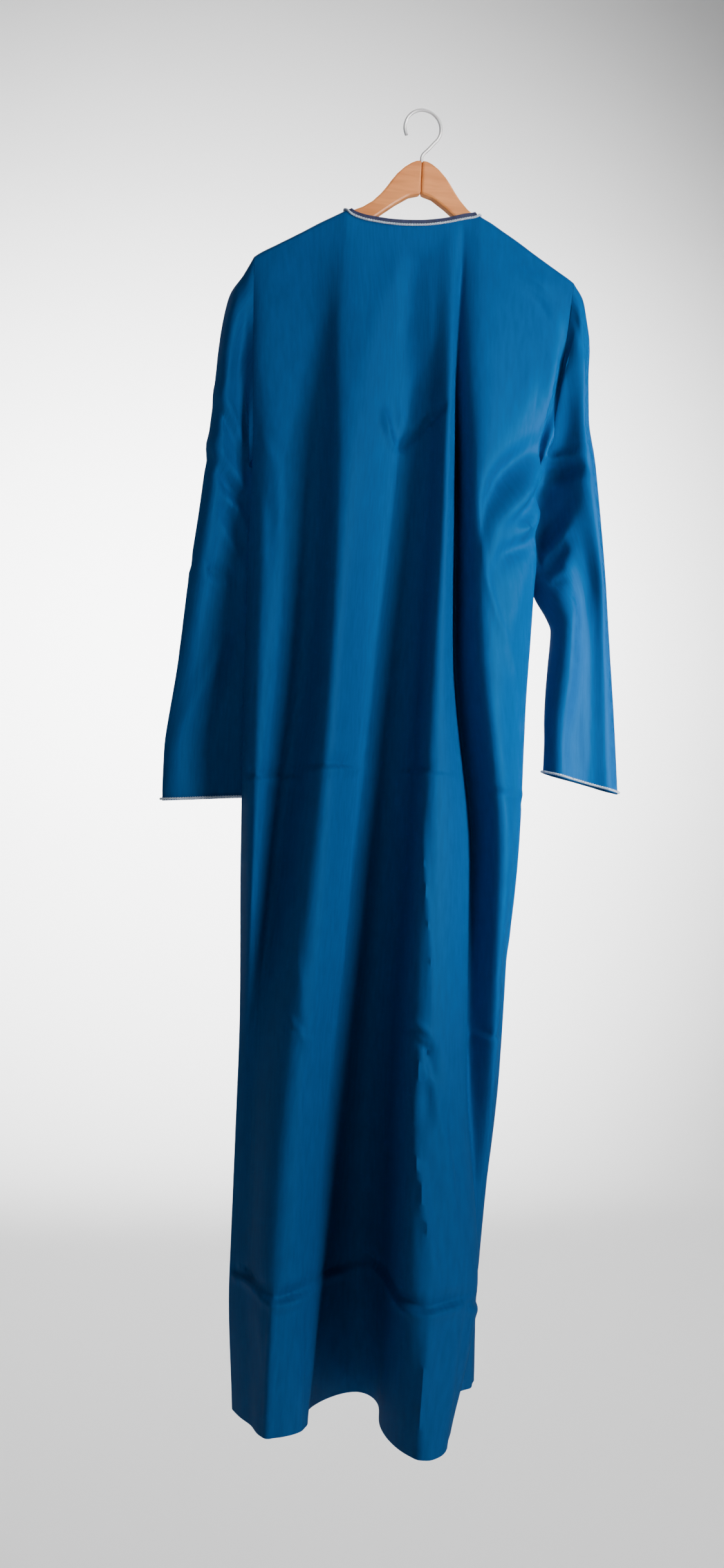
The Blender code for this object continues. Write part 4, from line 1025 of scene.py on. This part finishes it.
def weave_group():
    """Shared weave: fine threads both ways on the cloth's own UV places in metres, and slow
    slubs. It gives a height and a tone."""
    group = bpy.data.node_groups.new("weave", "ShaderNodeTree")
    for name, way in (("Thread", "INPUT"), ("Height", "OUTPUT"), ("Tone", "OUTPUT")):
        group.interface.new_socket(name, in_out=way, socket_type="NodeSocketFloat")
    inside = group.nodes.new("NodeGroupInput")
    out = group.nodes.new("NodeGroupOutput")
    place = group.nodes.new("ShaderNodeUVMap")
    place.uv_map = "UVMap"
    thread = group.nodes.new("ShaderNodeMath")
    thread.operation = "MULTIPLY"
    for number, direction in enumerate(("X", "Y")):
        wave = group.nodes.new("ShaderNodeTexWave")
        wave.bands_direction = direction
        set_inputs(wave, Distortion=0.6, Detail=1.0)
        group.links.new(place.outputs["UV"], wave.inputs["Vector"])
        group.links.new(inside.outputs["Thread"], wave.inputs["Scale"])
        group.links.new(wave.outputs["Fac"], thread.inputs[number])
    slub = stretched_noise(group, place.outputs["UV"], SLUB_STRETCH, Detail=3.0)
    both = group.nodes.new("ShaderNodeMath")
    both.operation = "MULTIPLY_ADD"
    both.inputs[1].default_value = 0.5
    group.links.new(thread.outputs[0], both.inputs[0])
    group.links.new(slub, both.inputs[2])
    group.links.new(both.outputs[0], out.inputs["Height"])
    group.links.new(slub, out.inputs["Tone"])
    return group


def woven(tree, weave, threads):
    """The shared weave with its own fineness of thread, placed in a material: the height and
    the tone that it gives."""
    node = tree.nodes.new("ShaderNodeGroup")
    node.node_tree = weave
    set_inputs(node, Thread=threads)
    return node.outputs["Height"], node.outputs["Tone"]


def cloth_material(weave):
    """Petrol blue satin cotton: smooth, with a soft sheen and a faint weave."""
    material, tree, shader = new_material("satin_cotton", Roughness=0.56, Specular_IOR_Level=0.24,
                                          Specular_Tint=SATIN_TINT)
    height, tone = woven(tree, weave, COTTON_THREADS)
    colour = ramp_between(tree, tone, 0.25, 0.75, CLOTH_DEEP, CLOTH_LIT)
    tree.links.new(colour, shader.inputs["Base Color"])
    add_bump(tree, shader, height, 0.10, 0.0004)
    return material


def tape_material(weave):
    """Navy tape of the neck binding."""
    material, tree, shader = new_material("navy_tape", Roughness=0.66)
    tone = woven(tree, weave, TAPE_THREADS)[1]
    lighter = tuple(2.0 * value for value in BINDING_TONE)
    colour = ramp_between(tree, tone, 0.3, 0.7, BINDING_TONE, lighter)
    tree.links.new(colour, shader.inputs["Base Color"])
    return material


def cord_material():
    """White cotton cord with shaded fibres."""
    material, tree, shader = new_material("white_cord", Roughness=0.60, Sheen_Weight=0.2)
    place = tree.nodes.new("ShaderNodeTexCoord")
    noise = tree.nodes.new("ShaderNodeTexNoise")
    set_inputs(noise, Scale=FIBRE_SCALE, Detail=2.0)
    tree.links.new(place.outputs["Object"], noise.inputs["Vector"])
    colour = ramp_between(tree, noise.outputs["Fac"], 0.30, 0.60, CORD_SHADE, CORD_TONE)
    tree.links.new(colour, shader.inputs["Base Color"])
    return material


def wood_material():
    """Lacquered beech: long grain along the arm with fine pores."""
    material, tree, shader = new_material("lacquered_wood", Roughness=0.36, Coat_Weight=0.25,
                                          Coat_Roughness=0.18)
    place = tree.nodes.new("ShaderNodeTexCoord")
    grain = stretched_noise(tree, place.outputs["Object"], GRAIN_STRETCH, Detail=5.0, Distortion=0.6)
    colour = ramp_between(tree, grain, 0.32, 0.70, WOOD_DARK, WOOD_LIGHT)
    tree.links.new(colour, shader.inputs["Base Color"])
    add_bump(tree, shader, grain, 0.08, 0.0005)
    return material


def wire_material():
    """Pale plated steel wire."""
    return new_material("pale_wire", Base_Color=(*WIRE_TONE, 1.0), Metallic=0.25, Roughness=0.28)[0]


def room_material():
    """Plain matt surface of the room."""
    return new_material("pale_room", Base_Color=(*ROOM_TONE, 1.0), Roughness=0.9)[0]


def make_body(cloth):
    """Back and front panels and the placket's strip, which is laid on the front."""
    back = make_panel(-1, BACK_FOLDS, NECK_BACK, BACK_CREASES)
    front = make_panel(1, FRONT_FOLDS, NECK_FRONT, FRONT_CREASES)
    back_cloth = cloth_wall("robe_back", back["grid"], back["normal"], 0.0, False, cloth)
    front_cloth = cloth_wall("robe_front", front["grid"], front["normal"], 0.0, False, cloth)
    strip = placket(front, cloth)
    dress(back_cloth, "cloth", "back_panel")
    dress(front_cloth, "cloth", "front_panel")
    dress(strip, "cloth", "front_placket")
    return back, front, back_cloth, front_cloth, strip


def make_neck(back, front, tape, white):
    """Binding along the neck edge, as a narrow band of four loops, and the cord below it."""
    edge, lift, down = neck_edge(back, front)
    low = edge - down * GAP
    high = low - down * BINDING_H
    outside = lift * BINDING_OUT
    inside = -lift * BINDING_IN
    loops = np.array([low + outside, high + outside, high + inside, low + inside])
    binding = ring_band("neck_tape", loops, tape)
    dress(binding, "binding", "neck_binding")
    level = unit(np.roll(lift, 1, axis=0) + lift + np.roll(lift, -1, axis=0))
    cord = twisted_cord("neck_twist", edge + down * CORD_BELOW_EDGE + level * CORD_OUT, white)
    dress(cord, "cord", "neck_cord")
    return binding, cord


def make_sleeve(back, front, side, cloth, white):
    """One sleeve and the cord round its cuff."""
    name = "left" if side < 0 else "right"
    table = SLEEVE_LEFT if side < 0 else SLEEVE_RIGHT
    creases = SLEEVE_LEFT_CREASES if side < 0 else SLEEVE_RIGHT_CREASES
    grid, normal = sleeve_grid(back, front, side, table, creases)
    sleeve = cloth_wall(f"robe_sleeve_{name}", grid, normal, 0.0, True, cloth)
    dress(sleeve, "cloth", f"sleeve_{name}")
    up = unit(grid[-3] - grid[-1])
    centre = grid[-1] + up * CORD_BELOW_EDGE + normal[-1] * CORD_OUT
    twist = twisted_cord(f"cuff_twist_{name}", centre, white)
    dress(twist, "cord", f"cuff_cord_{name}")
    return sleeve, twist


def dress_solid(name, material):
    """Keep a solid of the frame and give it a finished material."""
    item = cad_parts[name]
    item.data.materials.clear()
    item.data.materials.append(material)
    item.data.shade_smooth()
    item.data.set_sharp_from_angle(angle=HANGER_EDGE_ANGLE)
    return item


def make_hanger():
    """The frame's own arms and hook, in wood and wire."""
    wood = wood_material()
    dress_solid("hanger_arm_left", wood)
    dress_solid("hanger_arm_right", wood)
    dress_solid("hanger_hook", wire_material())


def make_robe():
    """All of the robe on its hanger."""
    weave = weave_group()
    cloth = cloth_material(weave)
    tape = tape_material(weave)
    white = cord_material()
    back, front, back_cloth, front_cloth, strip = make_body(cloth)
    binding, cord = make_neck(back, front, tape, white)
    left, left_twist = make_sleeve(back, front, -1, cloth, white)
    right, right_twist = make_sleeve(back, front, 1, cloth, white)
    make_hanger()


def make_room():
    """Pale floor that curves up into a backdrop: a profile of y and z carried along x."""
    turn = np.linspace(0.0, np.pi / 2.0, ROOM_CORNER_STEPS)
    y = np.concatenate([[ROOM_NEAR_Y], WALL_Y + ROOM_CORNER_R * (np.sin(turn) - 1.0), [WALL_Y]])
    z = np.concatenate([[0.0], ROOM_CORNER_R * (1.0 - np.cos(turn)), [WALL_TOP]]) + FLOOR_Z
    x = np.repeat([[-ROOM_HALF], [ROOM_HALF]], len(y), axis=1)
    grid = np.stack([x, np.tile(y, (2, 1)), np.tile(z, (2, 1))], axis=-1)
    faces = grid_faces(np.arange(2 * len(y)).reshape(2, len(y)))
    mesh = bpy.data.meshes.new("floor")
    mesh.from_pydata(grid.reshape(-1, 3).tolist(), [], faces.tolist())
    mesh.shade_smooth()
    mesh.materials.append(room_material())
    floor = put_in_scene("floor", mesh)
    floor.visible_glossy = False


def area_light(name, place, target, size, power, tone, spread, glossy):
    """Soft lamp at a place, turned to a target and hidden from the camera."""
    light = bpy.data.lights.new(name, "AREA")
    light.shape = "RECTANGLE"
    light.size, light.size_y = size
    light.energy = power
    light.color = tone
    light.spread = np.radians(spread)
    item = put_in_scene(name, light)
    way = Vector(target) - Vector(place)
    item.matrix_world = Matrix.Translation(place) @ way.to_track_quat("-Z", "Y").to_matrix().to_4x4()
    item.visible_glossy = glossy
    item.visible_camera = False


def make_light():
    """The lamps of the table: a soft key from the viewer's right, weak fills, narrow lamps for
    the right sleeve and the hanger, and light on the floor and backdrop, all in pale air."""
    for row in LIGHTS:
        area_light(*row)
    world = bpy.data.worlds.new("soft_room")
    world.use_nodes = True
    set_inputs(world.node_tree.nodes["Background"], Color=(*AIR_TONE, 1.0), Strength=AIR_STRENGTH)
    bpy.context.scene.world = world


def make_camera():
    """Camera at the photo's angle: turned round a little from square to the back, level, and
    rolled."""
    turn = np.radians(VIEW_TURN)
    roll = np.radians(VIEW_ROLL)
    ahead = Vector((np.sin(turn), np.cos(turn), 0.0))
    right = Vector((np.cos(turn), -np.sin(turn), 0.0))
    up = Vector((0.0, 0.0, 1.0))
    place = -VIEW_AWAY * ahead - VIEW_LEFT * right - VIEW_DOWN * up
    tilted_right = right * np.cos(roll) + up * np.sin(roll)
    tilted_up = up * np.cos(roll) - right * np.sin(roll)
    camera = bpy.data.cameras.new("photo_view")
    camera.sensor_width = SENSOR
    camera.lens = SENSOR * PHOTO_FOCUS / PHOTO_HEIGHT
    item = put_in_scene("photo_view", camera)
    turned = Matrix((tilted_right, tilted_up, -ahead)).transposed().to_4x4()
    item.matrix_world = Matrix.Translation(place) @ turned
    bpy.context.scene.camera = item


make_robe()
make_room()
make_light()
make_camera()
